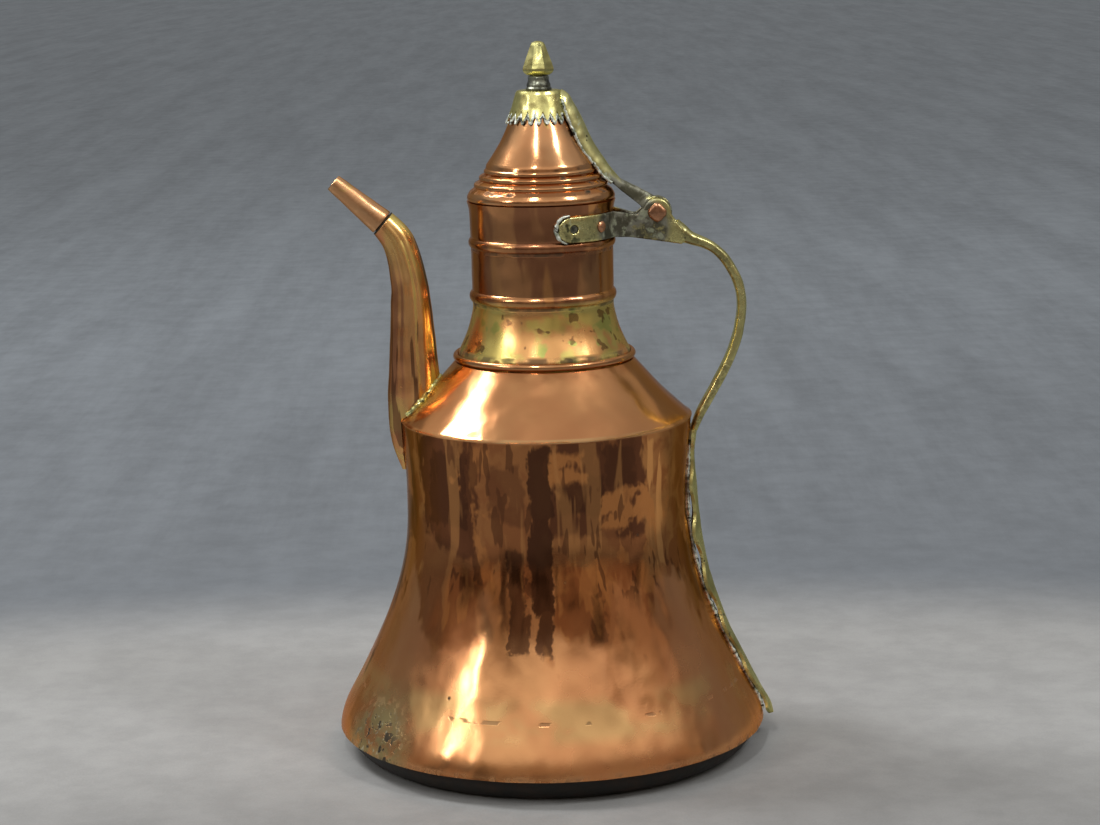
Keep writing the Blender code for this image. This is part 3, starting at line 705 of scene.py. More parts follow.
def make_brass(name, polish, grime_share, green):
    """Aged cast brass: olive yellow where rubbed, dark and green in the hollows."""
    g = Graph(name)
    g.shader.inputs["Specular Tint"].default_value = BRASS_EDGE
    tone = g.cloud(70.0, 4.0, 0.6)
    colour = g.mix(g.remap(tone, 0.40, 0.60), BRASS, BRASS_OLIVE)
    worn = g.blotch(0.50, 0.66, 34.0, 3.0, 0.6)
    colour = g.paint(colour, BRASS_DARK, worn, 0.45)
    grime = g.remap(g.cloud(150.0, 4.0, 0.65), 1.0 - grime_share, 1.10 - grime_share)
    verdigris = g.times(g.blotch(0.57, 0.66, 110.0, 3.0, 0.6), green)
    colour = g.mix(verdigris, colour, VERDIGRIS)
    dirt = g.either(g.times(grime, 0.9), pits(g, 170.0, 0.13, 0.5))
    dents = g.cells(150.0, None, 0.5)
    normal = g.bump(dents, 0.5, 0.5)
    normal = g.bump(g.cloud(330.0, 3.0, 0.6), 0.10, 0.6, normal)
    normal = g.bump(g.times(dirt, -1.0), 0.25, 0.5, normal)
    roughness = g.plus(g.remap(tone, 0.3, 0.7, polish, polish + 0.14), g.times(dirt, 0.35),
                       g.times(verdigris, 0.3))
    metallic = g.plus(1.0, g.times(dirt, -0.6), g.times(verdigris, -0.6))
    return g.done(g.mix(dirt, colour, GRIME), roughness, metallic, normal)


def make_strap_brass():
    """Strap: olive brass above; black-grey along its lower flanks, partly dark patina and partly painted
    shade, with pale green crusts.
    """
    g = Graph("strap brass")
    g.shader.inputs["Specular Tint"].default_value = BRASS_EDGE
    tone = g.cloud(80.0, 4.0, 0.6)
    colour = g.mix(g.remap(tone, 0.40, 0.60), (0.70, 0.66, 0.30), (0.46, 0.43, 0.19))
    # Below a tilted plane, and towards the lug, the flanks go black-grey: partly dark patina, partly
    # painted shade.
    crest = g.plus(g.axis("Z"), g.times(g.axis("X"), 0.80))
    below = g.remap(g.plus(crest, g.times(g.plus(tone, -0.5), 0.006)), 0.3215, 0.3240, 1.0, 0.0)
    flank = g.times(below, g.remap(g.axis("X"), 0.030, 0.036))
    flank = g.either(flank, g.times(g.remap(g.axis("X"), 0.037, 0.041), g.remap(tone, 0.40, 0.50)))
    dark_patina_and_shade = g.mix(g.blotch(0.42, 0.58, 120.0, 4.0, 0.65), (0.06, 0.06, 0.05), (0.20, 0.20, 0.17))
    colour = g.mix(g.times(flank, 0.92), colour, dark_patina_and_shade)
    crust = g.blotch(0.60, 0.66, 190.0, 3.0, 0.6)
    colour = g.paint(colour, (0.42, 0.48, 0.36), crust, 0.6)
    dirt = pits(g, 170.0, 0.14, 0.5)
    normal = g.bump(g.cells(150.0, None, 0.5), 0.5, 0.5)
    normal = g.bump(g.cloud(330.0, 3.0, 0.6), 0.12, 0.7, normal)
    roughness = g.plus(g.remap(tone, 0.3, 0.7, 0.26, 0.42), g.times(flank, 0.12), g.times(dirt, 0.3))
    metallic = g.plus(1.0, g.times(flank, -0.3), g.times(crust, -0.5))
    return g.done(g.mix(dirt, colour, GRIME), roughness, metallic, normal)


def make_fork_brass():
    """Handle bow: rubbed brass along the bow, dark grey-green round the hinge, the grey partly tarnish and
    partly painted shade.
    """
    g = Graph("aged brass bow")
    g.shader.inputs["Specular Tint"].default_value = BRASS_EDGE
    tone = g.cloud(70.0, 4.0, 0.6)
    colour = g.mix(g.remap(tone, 0.40, 0.60), (0.72, 0.66, 0.29), (0.50, 0.46, 0.20))
    mottled = g.blotch(0.52, 0.60, 130.0, 4.0, 0.65)
    colour = g.paint(colour, BRASS_DARK, mottled, 0.6)
    # Round the hinge and on the near arm: dark grey that is partly tarnish and partly painted shade.
    hinge = g.either(g.near((50.0, 0.0, 267.0), 13.5, 4.0), g.near((36.0, -14.0, 269.0), 12.0, 6.0))
    patches = g.cloud(85.0, 4.0, 0.62)
    dark_patina_and_shade = g.times(hinge, g.remap(patches, 0.30, 0.42))
    grey = g.mix(g.blotch(0.44, 0.58, 120.0, 4.0, 0.62), (0.060, 0.059, 0.052), (0.21, 0.21, 0.18))
    colour = g.mix(g.times(dark_patina_and_shade, 0.93), colour, grey)
    arm_end = g.near((12.0, -37.0, 269.0), 6.0, 7.0)
    green = g.times(g.either(hinge, arm_end), g.blotch(0.54, 0.62, 170.0, 3.0, 0.6))
    colour = g.paint(colour, (0.33, 0.36, 0.25), green, 0.6)
    spots = g.times(arm_end, g.blotch(0.50, 0.44, 140.0, 3.0, 0.6))
    colour = g.paint(colour, (0.06, 0.07, 0.04), spots, 0.85)
    dirt = g.either(pits(g, 150.0, 0.15, 0.55), g.times(g.blotch(0.58, 0.63, 230.0, 3.0, 0.6), 0.6))
    normal = g.bump(g.cells(140.0, None, 0.5), 0.6, 0.5)
    normal = g.bump(g.cloud(300.0, 4.0, 0.65), 0.16, 0.7, normal)
    normal = g.bump(g.times(dirt, -1.0), 0.3, 0.5, normal)
    roughness = g.plus(g.remap(tone, 0.3, 0.7, 0.22, 0.36), g.times(dark_patina_and_shade, 0.14), g.times(dirt, 0.25))
    metallic = g.plus(1.0, g.times(dark_patina_and_shade, -0.25), g.times(dirt, -0.4), g.times(green, -0.4))
    return g.done(g.mix(g.times(dirt, 0.8), colour, GRIME), roughness, metallic, normal)


def make_solder():
    """Old solder with verdigris: pale grey crusts between grey-green and black."""
    g = Graph("old solder")
    tone = g.cloud(260.0, 4.0, 0.65)
    colour = g.mix(g.remap(tone, 0.50, 0.64), SOLDER_GREY, (0.22, 0.25, 0.18))
    black = g.blotch(0.57, 0.64, 330.0, 3.0, 0.6)
    colour = g.mix(black, colour, GRIME)
    normal = g.bump(g.cloud(420.0, 4.0, 0.65), 0.35, 0.9)
    return g.done(colour, g.remap(tone, 0.3, 0.7, 0.30, 0.62), 0.45, normal)


def make_root_solder():
    """Greenish-gold braze at the spout's root."""
    g = Graph("greenish braze")
    tone = g.cloud(150.0, 4.0, 0.6)
    colour = g.mix(g.remap(tone, 0.38, 0.62), (0.62, 0.60, 0.26), (0.36, 0.38, 0.14))
    dark = g.blotch(0.58, 0.68, 260.0, 3.0, 0.6)
    normal = g.bump(g.cloud(260.0, 4.0, 0.6), 0.3, 0.8)
    return g.done(g.mix(dark, colour, GRIME), g.remap(tone, 0.3, 0.7, 0.2, 0.45), 0.8, normal)


def make_tarnished():
    g = Graph("tarnished collar metal")
    tone = g.cloud(160.0, 4.0, 0.6)
    colour = g.mix(g.remap(tone, 0.40, 0.62), (0.26, 0.27, 0.21), (0.05, 0.05, 0.04))
    normal = g.bump(g.cloud(380.0, 4.0, 0.6), 0.2, 0.8)
    return g.done(colour, g.remap(tone, 0.3, 0.7, 0.3, 0.55), 0.85, normal)


def make_rivet_copper():
    g = Graph("rivet copper")
    tone = g.cloud(140.0, 4.0, 0.6)
    colour = g.mix(g.remap(tone, 0.36, 0.62), (0.62, 0.31, 0.17), (0.30, 0.15, 0.085))
    return copper_surface(g, colour, pits(g, 240.0, 0.14, 0.5), 0.4, 0.14, 0.3)


# ================================================================ vessel
def wall_points(substeps):
    """Outer line of the bell-shaped wall, rim to crease."""
    return smooth_curve([
        (109.6, 12.6), (106.8, 22.0), (94.9, 45.0), (81.6, 75.0), (73.5, 105.0), (71.6, 135.0),
        (CREASE_RADIUS - 0.25, CREASE_HEIGHT - 0.1)], substeps)


def shoulder_points(substeps):
    return smooth_curve([
        (CREASE_RADIUS, CREASE_HEIGHT), (59.5, 184.6), (49.6, 195.6), (45.2, NECK_FOOT_HEIGHT)], substeps)


def make_body(material):
    outer = densify(wall_points(16), 1.6)
    inner = [(radius - SHEET, height) for radius, height in wall_points(5)]
    inner[0] = (inner[0][0] + 0.2, inner[0][1] - 0.1)
    return place(turned("body", outer[::-1] + inner, material, BODY_STEPS, vessel_dent),
                 "vessel", "hammered_copper", "body_wall")


def make_shoulder(material):
    outer = densify(shoulder_points(8), 1.4)
    lip = arc((CREASE_RADIUS - 0.5, CREASE_HEIGHT + 0.25), 0.6, 20, -70, 3)
    inner = [(radius - 1.0, height - 1.0) for radius, height in shoulder_points(3)[1:-1]]
    skirt = [(71.9, 171.0), (71.4, 163.0), (70.2, 163.0), (70.8, 170.4)]
    outline = outer[:0:-1] + lip + skirt + inner + [(44.0, NECK_FOOT_HEIGHT - 0.9),
                                                   (44.0, NECK_FOOT_HEIGHT)]

    return place(turned("shoulder_cone", outline, material, BODY_STEPS, shoulder_dent),
                 "vessel", "hammered_copper", "shoulder")


def bead(radius, height, swell, half_height):
    """Rounded bead on the neck, from its top to its bottom."""
    points = []
    for i in range(9):
        t = i / 8
        swelling = math.sin(math.pi * t) ** 0.7 if 0 < i < 8 else 0.0
        points.append((radius + swell * swelling, height + half_height * (1 - 2 * t)))
    return points


def make_neck(material):
    mouth = smooth_curve([(37.3, MOUTH_HEIGHT - 0.3), (36.3, 277.0), (36.0, 270.0), (35.9, 263.4)], 4)
    upper = bead(35.8, 260.6, 1.25, 2.6)
    lower = bead(35.7, 233.7, 1.4, 2.9)
    foot = smooth_curve([(35.5, 229.6), (35.9, 225.5), (38.5, 216.0), (43.5, 204.8)], 6)
    socket = [(43.4, NECK_FOOT_HEIGHT - 4.0)]
    outer = densify([(36.7, MOUTH_HEIGHT)] + mouth + upper + lower + foot + socket, 1.2)
    inner = densify([(42.2, NECK_FOOT_HEIGHT - 4.0), (42.3, 204.6), (37.3, 215.6), (34.6, 226.3),
                     (34.5, 233.0), (34.6, 262.0), (34.7, 271.0), (35.0, 277.0), (36.1, MOUTH_HEIGHT)], 4.0)
    return place(turned("neck_tube", outer + inner, material, 224, neck_dent),
                 "vessel", "dark_copper", "neck")


def make_foot_ring(material):
    ring = [(43.9, 204.6)] + arc((44.3, 203.05), 1.95, 75, -75, 12) + [(43.9, 201.2)]
    return place(turned("foot_ring", ring, material, 192, lid_dent),
                 "vessel", "hammered_copper", "neck_foot_ring")


def make_pan(material):
    corner = (93.2, 12.0)
    outline = [(0.0, 0.0), (60.0, 0.0)] + arc(corner, 12.0, -90, 0, 12)
    outline += [(105.2, 22.0), (104.0, 22.0)] + arc(corner, 12.0 - SHEET, 0, -90, 6) + [(0.0, SHEET)]

    def dent(point):
        return 0.5 * ripple(point, 24.0, 30.0, 6.0)

    return place(turned("pan", outline, material, 144, dent, loop=False),
                 "vessel", "sooted_copper", "base_pan")


# ================================================================ spout
def spout_rings(shrink, substeps, first=0):
    """Oval rings of the spout with a few long creases pressed into them."""
    stations = smooth_curve([
        (-70.8, 144.7, 3.0, 1.6, 0.0), (-68.0, 158.0, 10.4, 7.0, 0.0), (-66.8, 172.0, 13.2, 10.4, 0.0),
        (-66.4, 186.0, 13.4, 11.8, 0.0), (-66.4, 203.0, 12.2, 11.0, 0.0), (-66.7, 227.8, 10.4, 9.6, -1.0),
        (-67.6, 241.0, 9.5, 8.9, 20.0), (-69.9, 254.0, 8.9, 8.5, 30.0), (-73.4, 263.4, 8.0, 7.9, 38.0),
        (-79.8, 271.1, 7.0, 7.0, 48.8)], substeps)
    sides = 72
    rings = []
    for x, z, depth, width, tilt in stations[first * substeps:]:
        slope = math.radians(tilt)
        along = Vector((math.cos(slope), 0.0, math.sin(slope)))
        ring = []
        for i in range(sides):
            angle = 2 * math.pi * i / sides
            point = Vector((x, 0.0, z)) + along * ((depth - shrink) * math.cos(angle))
            point.y += (width - shrink) * math.sin(angle)
            if not shrink:
                inward = (point - Vector((x, 0.0, z))).normalized()
                fade = min(1.0, max(0.0, (z - 150.0) / 30.0)) * min(1.0, (272.6 - z) / 12.0)
                wander = 9.0 * noise.noise(Vector((z / 38.0, 2.0, 0.0)))
                press = 0.0
                for crease_angle, deep in SPOUT_CREASES:
                    gap = (math.degrees(angle) - crease_angle - wander + 180) % 360 - 180
                    press += deep * math.exp(-(gap / 5.0) ** 2)
                wave = 0.25 * noise.noise(point / 9.0)
                point += inward * (wave - press) * fade
            ring.append(point)
        rings.append(ring)
    return rings


def make_spout(material):
    """Loft the tube, bore it and cut its root to the vessel."""
    tube = skin("spout", spout_rings(0.0, 12), material)
    bore_rings = spout_rings(SHEET + 0.2, 4, 3)
    tip_way = Vector((-3.7, 0.0, 3.3))
    bore_rings.append([point + tip_way for point in bore_rings[-1]])
    bore = skin("spout_bore", bore_rings, helper_material())
    wall = [(radius + 0.15, height) for radius, height in wall_points(6) if height > 100]
    shoulder = [(radius + 0.15, height + 0.15) for radius, height in shoulder_points(6)]
    envelope = [(0.0, 100.0), (wall[0][0], 100.0)] + wall + shoulder + [(0.0, 201.0)]

    vessel = turned("vessel_envelope", envelope, helper_material(), 144, shoulder_dent, loop=False)
    combine(tube, [bore, vessel], "DIFFERENCE")
    dress(tube, material)
    return place(tube, "vessel", "hammered_copper", "spout_tube")


def make_sleeve(material):
    length = (SPOUT_TIP_END - SPOUT_TIP_START).length
    outline = densify([(4.1, length), (4.45, length - 0.35), (5.65, length * 0.45), (6.75, 0.6)], 1.5)
    outline += [(6.5, 0.1), (5.1, 0.0), (4.9, -3.2), (4.0, -3.2), (4.3, 0.0), (3.6, length - 0.4),
                (3.75, length)]
    turn = (SPOUT_TIP_END - SPOUT_TIP_START).to_track_quat("Z", "Y").to_matrix().to_4x4()

    def wobble(point):
        return 0.12 * noise.noise(point / 5.0)

    sleeve = turned("spout_sleeve", outline, material, 64, wobble)
    sleeve.data.transform(Matrix.Translation(SPOUT_TIP_START * MM) @ turn)
    return place(sleeve, "vessel", "dark_copper", "spout_tip_sleeve")


# ================================================================ lid
def make_lid(material):
    steps = []
    for radius, height in ((28.2, 295.9), (30.7, 292.7), (33.4, 289.1)):
        steps += arc((radius - 1.5, height), 1.65, 62, -35, 5)
    brim = smooth_curve([(35.6, 286.4), (36.8, 284.4), (37.1, 282.9), (36.7, LID_SEAT)], 3)
    cone = smooth_curve([(12.7, 327.0), (15.0, 321.0), (20.2, 310.0), (27.0, 299.4)], 7)
    top = [(2.3, 334.5), (9.4, 334.5), (10.6, 333.2), (11.7, 330.0)]
    flange = [(34.5, LID_SEAT), (34.5, 283.4)]
    inside = [(31.9, 287.0), (28.9, 291.6), (25.9, 296.5)]
    inner_cone = [(radius - 1.1, height - 0.4) for radius, height in cone[::3]]
    outline = densify(top + cone + steps + brim, 1.1) + flange + inside
    outline += inner_cone[::-1] + [(10.0, 330.2), (9.2, 333.3), (2.3, 333.4)]
    return place(turned("lid_cone", outline, material, 224, lid_dent), "lid", "hammered_copper",
                 "lid_shell")


def make_lid_skirt(material):
    outline = densify([(34.2, 283.2), (34.2, 281.0), (33.6, 277.5)], 1.0)
    outline += densify([(32.6, 277.5), (33.2, 281.0), (33.2, 283.2)], 1.0)
    return place(turned("lid_skirt", outline, material, 128), "lid", "dark_copper", "lid_inner_collar")


def make_crown(material):
    """Brass cap; each tooth comes to a slightly different point."""
    count = CROWN_TEETH * 8
    shape = densify([(2.3, 335.9), (10.0, 335.9), (10.9, 335.6), (11.6, 334.6), (12.9, 330.4),
                     (13.8, 327.4)], 0.9)
    bm = bmesh.new()
    rings = []

    def ring(profile):
        verts = []
        for i in range(count):
            angle = 2 * math.pi * i / count
            radius, height = profile(i)
            radius += 0.12 * noise.noise(Vector((math.cos(angle) * 5, math.sin(angle) * 5, height / 5)))
            verts.append(bm.verts.new((radius * math.cos(angle), radius * math.sin(angle), height)))
        rings.append(verts)

    def edge(i, share, inward):
        tooth = i / 8
        index = math.floor(tooth + 0.5)
        away = abs(tooth - index) * 2
        drop = 5.6 + 1.3 * noise.noise(Vector((index % CROWN_TEETH * 1.7, 0.0, 3.0)))
        point = drop * max(0.0, 1 - away) ** 0.85 * share
        height = 326.6 - point
        radius = 14.15 + (326.6 - height) * 0.40 - inward
        return radius, height

    for radius, height in shape:
        ring(lambda i, r=radius, z=height: (r, z))
    for share in (0.35, 0.7, 1.0):
        ring(lambda i, s=share: edge(i, s, 0.0))
    for share in (1.0, 0.5):
        ring(lambda i, s=share: edge(i, s, 0.8))
    for radius, height in shape[::-1]:
        inward = 0.8 if radius > 4 else 0.0
        ring(lambda i, r=radius, z=height, n=inward: (r - n, z - 0.8 if z > 334 else z))
    for upper, lower in zip(rings, rings[1:] + rings[:1]):
        for i in range(count):
            j = (i + 1) % count
            bm.faces.new((upper[i], upper[j], lower[j], lower[i]))
    return place(finish_bmesh("crown", bm, material), "lid", "aged_brass", "lid_crown")


def strap_stations():
    """Inner x, inner z, outer x, outer z and half width, from the crown to the lug."""
    return smooth_curve([
        (10.6, 334.9, 11.2, 336.2, 4.6), (12.9, 331.8, 15.0, 333.4, 6.4), (14.7, 327.0, 17.8, 328.5, 7.4),
        (16.9, 320.6, 21.0, 322.4, 8.0), (22.1, 308.2, 26.5, 310.2, 8.4), (28.2, 299.2, 31.9, 301.6, 7.8),
        (32.5, 292.9, 36.4, 295.2, 6.8), (36.2, 288.9, 39.8, 291.3, 5.6), (39.9, 285.4, 44.2, 288.8, 4.2),
        (44.6, 281.6, 50.2, 285.8, 3.2), (52.0, 275.4, 57.4, 281.6, 3.2)], 6)


def strap_ring(station):
    """Arched section whose edges bend down to the lid's cone."""
    inner_x, inner_z, outer_x, outer_z, width = station
    inner = Vector((inner_x, 0.0, inner_z))
    rise = Vector((outer_x, 0.0, outer_z)) - inner
    on_cone = min(1.0, max(0.0, (inner_z - 288.0) / 6.0))
    out = rise.normalized()
    hug = out * (width ** 2 / inner_x * 0.5) * on_cone
    ring = []
    for i in range(STRAP_ARCH_POINTS):
        across = math.sin(math.pi * (i / (STRAP_ARCH_POINTS - 1) - 0.5))
        up = max(0.0, 1 - abs(across) ** 2.4) ** 0.55
        ring.append(inner + rise * up - hug * across ** 2 + Vector((0.0, across * width, 0.0)))
    for i in range(7):
        across = 0.96 - 0.32 * i
        ring.append(inner - out * 0.5 * on_cone - hug * across ** 2 + Vector((0.0, across * width, 0.0)))
    return ring


def make_strap(material):
    """Arched strap from the crown to the hinge's lug."""
    rings = [strap_ring(station) for station in strap_stations()]
    strap = skin("strap", rings, material)
    half = Vector((0.0, 3.15, 0.0))
    reach = Vector((0.0, 12.0, 0.0))
    combine(strap, [bar("lug_core", HINGE - half, HINGE + half, 7.75, 64)], "UNION")
    combine(strap, [bar("lug_hole", HINGE - reach, HINGE + reach, 3.3, 48)], "DIFFERENCE")
    cast_together(strap, 0.34, 4, material)
    push_points(strap, lambda p: 0.14 * noise.noise(p / 4.0) if (p - HINGE).length > 11 else 0.0)
    return place(strap, "lid", "aged_brass", "lid_strap")


def make_bud(material):
    """Eight-faced bud on its tang."""
    shape = densify([(1.3, 359.9), (3.0, 359.2), (3.8, 357.9), (5.4, 353.6), (7.1, 349.2), (8.0, 346.4),
                     (7.9, 345.4), (7.0, 344.2), (5.6, 343.4)], 0.5)
    tang = [(2.0, 343.3), (2.0, 331.9), (3.2, 331.6), (2.6, 330.4), (0.0, 330.2)]
    rings = []
    bm = bmesh.new()
    steps = 96
    for radius, height in [(0.0, 360.0)] + shape + tang:
        if radius < 1e-6:
            rings.append([bm.verts.new((0.0, 0.0, height))])
            continue
        verts = []
        for i in range(steps):
            angle = 2 * math.pi * i / steps
            facet = (angle + math.pi / 8) % (math.pi / 4) - math.pi / 8
            flat = math.cos(math.pi / 8) / math.cos(facet) if height > 343.3 else 1.0
            strength = min(1.0, max(0.0, (359.5 - height) / 3.0))
            reach = radius * (1 + (flat / 0.96 - 1) * strength)
            reach += 0.08 * noise.noise(Vector((math.cos(angle) * 3, math.sin(angle) * 3, height / 3)))
            verts.append(bm.verts.new((reach * math.cos(angle), reach * math.sin(angle), height)))
        rings.append(verts)
    for upper, lower in zip(rings, rings[1:]):
        for i in range(steps):
            j = (i + 1) % steps
            corners = [upper[i % len(upper)], upper[j % len(upper)], lower[j % len(lower)],
                       lower[i % len(lower)]]
            bm.faces.new(list(dict.fromkeys(corners)))
    return place(finish_bmesh("bud", bm, material, 24.0), "lid", "aged_brass", "finial")


def make_bud_collar(material):
    outline = [(2.3, 343.0), (4.9, 343.0), (5.3, 342.2), (5.1, 341.2), (5.3, 340.2), (5.8, 339.0)]
    outline += [(6.0, 338.2), (5.9, 337.6), (6.5, 336.8), (6.5, 336.1), (2.3, 336.1)]

    def wobble(point):
        return 0.12 * noise.noise(point / 2.5)

    return place(turned("bud_collar", densify(outline, 0.6), material, 72, wobble), "lid",
                 "tarnished_metal", "finial_collar")


# ================================================================ handle
def on_neck(radius, degrees, height):
    angle = math.radians(degrees)
    return Vector((radius * math.cos(angle), radius * math.sin(angle), height))


def prong_rings(side):
    """One cheek of the fork and the arm it sends round the neck, with rounded edges."""
    cheek_y = 5.0
    cheek = 3.0
    stations = [(70.5, cheek_y, cheek, 265.8), (69.4, cheek_y, cheek, 267.0),
                (66.8, cheek_y, cheek, 270.2)]
    for degrees in range(-5, 166, 9):
        angle = math.radians(degrees)
        stations.append((HINGE.x + 7.0 * math.cos(angle), cheek_y, cheek, HINGE.z + 7.0 * math.sin(angle)))
    stations += [(47.6, cheek_y, cheek, 273.6), (45.6, 5.25, 2.8, 273.7), (43.6, 5.9, 2.6, 274.2)]
    levels = [(x, y, thick, 262.6 - 0.157 * (x - 40.0), top) for x, y, thick, top in stations]
    for degrees in range(19, 66, 4):
        point = on_neck(37.5, degrees, 0.0)
        levels.append((point.x, point.y, 1.8, 262.9, 276.0))
    for degrees in (68, 70, 72, 73.5, 75, 76, 77):
        point = on_neck(37.5, degrees, 0.0)
        shorten = 6.5 * (1 - math.sqrt(max(0.0, 1 - ((degrees - 66) / 11.4) ** 2)))
        levels.append((point.x, point.y, 1.8, 262.9 + shorten, 276.0 - shorten))
    rings = []
    section = bar_section(20, 5.0)
    for i, (x, y, thick, low, high) in enumerate(levels):
        before, after = neighbours(levels, i)
        heading = Vector((after[0] - before[0], after[1] - before[1], 0.0)).normalized()
        across = Vector((-heading.y, heading.x, 0.0)) * (thick / 2)
        ring = []
        for u, v in section:
            height = (low + high) / 2 + v * (high - low) / 2
            point = Vector((x, y, height)) + across * u
            ring.append(Vector((point.x, point.y * side, height)))
        rings.append(ring)
    return rings


def make_bow(material):
    """Bow, fork and arms flowed together like the casting they are."""
    stations = smooth_curve([
        (66.2, 264.4, 6.1, 6.2), (70.5, 262.4, 4.6, 6.2), (75.0, 260.2, 3.1, 5.6), (84.5, 256.2, 2.5, 4.8),
        (92.2, 249.0, 2.5, 4.5), (98.4, 237.4, 2.5, 4.5), (100.1, 225.6, 2.4, 4.5), (98.2, 211.8, 2.5, 4.5),
        (94.1, 199.6, 2.5, 4.6), (87.9, 187.4, 2.5, 4.8), (82.4, 177.4, 2.4, 5.2), (78.6, 170.6, 2.2, 5.8),
        (75.1, 162.4, 1.8, 6.6)], 8)
    bow = skin("bow", bar_rings(stations, bar_section(24, 3.2)), material)
    prongs = [skin("prong_%d" % side, prong_rings(side), helper_material()) for side in (-1, 1)]
    combine(bow, prongs, "UNION")
    reach = Vector((0.0, 12.0, 0.0))
    holes = [bar("fork_hole", HINGE - reach, HINGE + reach, 3.3, 48)]
    for side in (-1, 1):
        for degrees in (40, 65):
            holes.append(bar("arm_hole", on_neck(30, side * degrees, RIVET_HEIGHT),
                             on_neck(44, side * degrees, RIVET_HEIGHT), 2.2, 32))
    combine(bow, holes, "DIFFERENCE")
    cast_together(bow, 0.42, 2, material)
    push_points(bow, lambda p: 0.16 * noise.noise(p / 5.0) if p.x > 71 else 0.05 * noise.noise(p / 3.0))
    return place(bow, "vessel", "aged_brass", "handle_bow")


def tail_path():
    return smooth_curve([(75.1, 163.5), (73.4, 151.0), (74.5, 136.0), (75.6, 120.7), (77.5, 105.0),
                         (80.6, 89.0), (85.5, 73.0), (91.5, 57.0), (99.3, 41.0), (103.2, 33.0),
                         (107.1, 25.0), (111.6, 17.3), (113.4, 11.4)], 12)


def tail_sections():
    """Sections of the arched strip: top points, then bottom points, in millimetres."""
    path = tail_path()
    wall = smooth_curve(wall_points(4), 6)
    total = sum(math.dist(a, b) for a, b in zip(path, path[1:]))
    travelled = 0.0
    sections = []
    for i, (x, z) in enumerate(path):
        if i:
            travelled += math.dist(path[i], path[i - 1])
        before, after = neighbours(path, i)
        heading = Vector((after[0] - before[0], 0.0, after[1] - before[1])).normalized()
        outward = Vector((-heading.z, 0.0, heading.x))
        swing = math.cos(2 * math.pi * (travelled - 2.3) / TAIL_PITCH)
        ending = math.sqrt(min(1.0, (total - travelled + 0.4) / 5.0))
        stand = math.dist((x, z), min(wall, key=lambda point: math.dist((x, z), point)))
        rows = []
        for side in (-1, 1):
            flutter = 0.5 * noise.noise(Vector((travelled / 9.0, side * 3.0, 0.0)))
            rows.append((TAIL_HALF_WIDTH + (TAIL_SCALLOP * swing + flutter)) * ending)
        rise = stand + TAIL_CREST - 2.4 - 0.5
        top = []
        bottom = []
        steps = 14
        for k in range(steps + 1):
            share = 2 * k / steps - 1
            across = share * (rows[0] if share < 0 else rows[1])
            sunk = rise * (abs(across) / 8.8) ** 1.7
            crest = TAIL_CREST - sunk - 0.5 * max(0.0, abs(share) - 0.82) / 0.18
            hammered = 0.14 * noise.noise(Vector((x, across, z)) / 5.0)
            top.append((across, crest + hammered))
            bottom.append((across * 0.98, TAIL_CREST - sunk - 2.1))
        middle = Vector((x, 0.0, z))
        for row, flip in ((top, 1), (bottom, -1)):
            row[:] = [middle + Vector((0.0, across, 0.0)) + outward * up for across, up in row[::flip]]
        sections.append((top, bottom))
    return sections


def make_tail(material):
    """Arched strip down the wall; its scalloped edges bend in to the copper."""
    rings = [top + bottom for top, bottom in tail_sections()]
    return place(skin("tail", rings, material), "vessel", "aged_brass", "handle_tail")


def make_pin(material):
    """Hinge pin with hammered, slightly square heads."""
    face = 6.75
    head = [(0.0, face + 1.6), (1.6, face + 1.58), (3.2, face + 1.35), (4.1, face + 0.9), (4.5, face + 0.3),
            (4.3, face), (3.0, face)]
    outline = head + [(radius, -height) for radius, height in head[::-1]]

    def hammered(point):
        angle = math.atan2(point.y, point.x)
        return 0.28 * math.cos(4 * angle) * (point.length > 3.5) + 0.22 * noise.noise(point / 2.2)

    pin = turned("pin", densify(outline, 0.7), material, 56, hammered, loop=False)
    pin.data.transform(Matrix.Translation(HINGE * MM) @ Matrix.Rotation(math.radians(90), 4, "X"))
    return place(pin, "vessel", "hammered_copper", "hinge_pin")


def make_rivet(name, degrees, has_head, material, slot, node):
    inside = 33.6
    outside = 38.4
    if has_head:
        outline = [(0.0, outside + 1.5), (1.2, outside + 1.45), (2.2, outside + 1.1), (2.75, outside + 0.5),
                   (2.7, outside + 0.1), (2.0, outside + 0.05)]
    else:
        outline = [(0.0, outside - 1.1), (1.9, outside - 0.9)]
    outline += [(2.0, inside - 0.2), (2.8, inside - 0.3), (1.7, inside - 1.1), (0.0, inside - 1.2)]

    def hammered(point):
        return 0.15 * noise.noise(Vector((point.x / 1.6, point.y / 1.6, degrees)))

    rivet = turned(name, densify(outline, 0.6), material, 40, hammered, loop=False)
    turn = on_neck(1.0, degrees, 0.0).to_track_quat("Z", "Y").to_matrix().to_4x4()
    rivet.data.transform(Matrix.Translation(Vector((0.0, 0.0, RIVET_HEIGHT)) * MM) @ turn)
    return place(rivet, "vessel", slot, node)


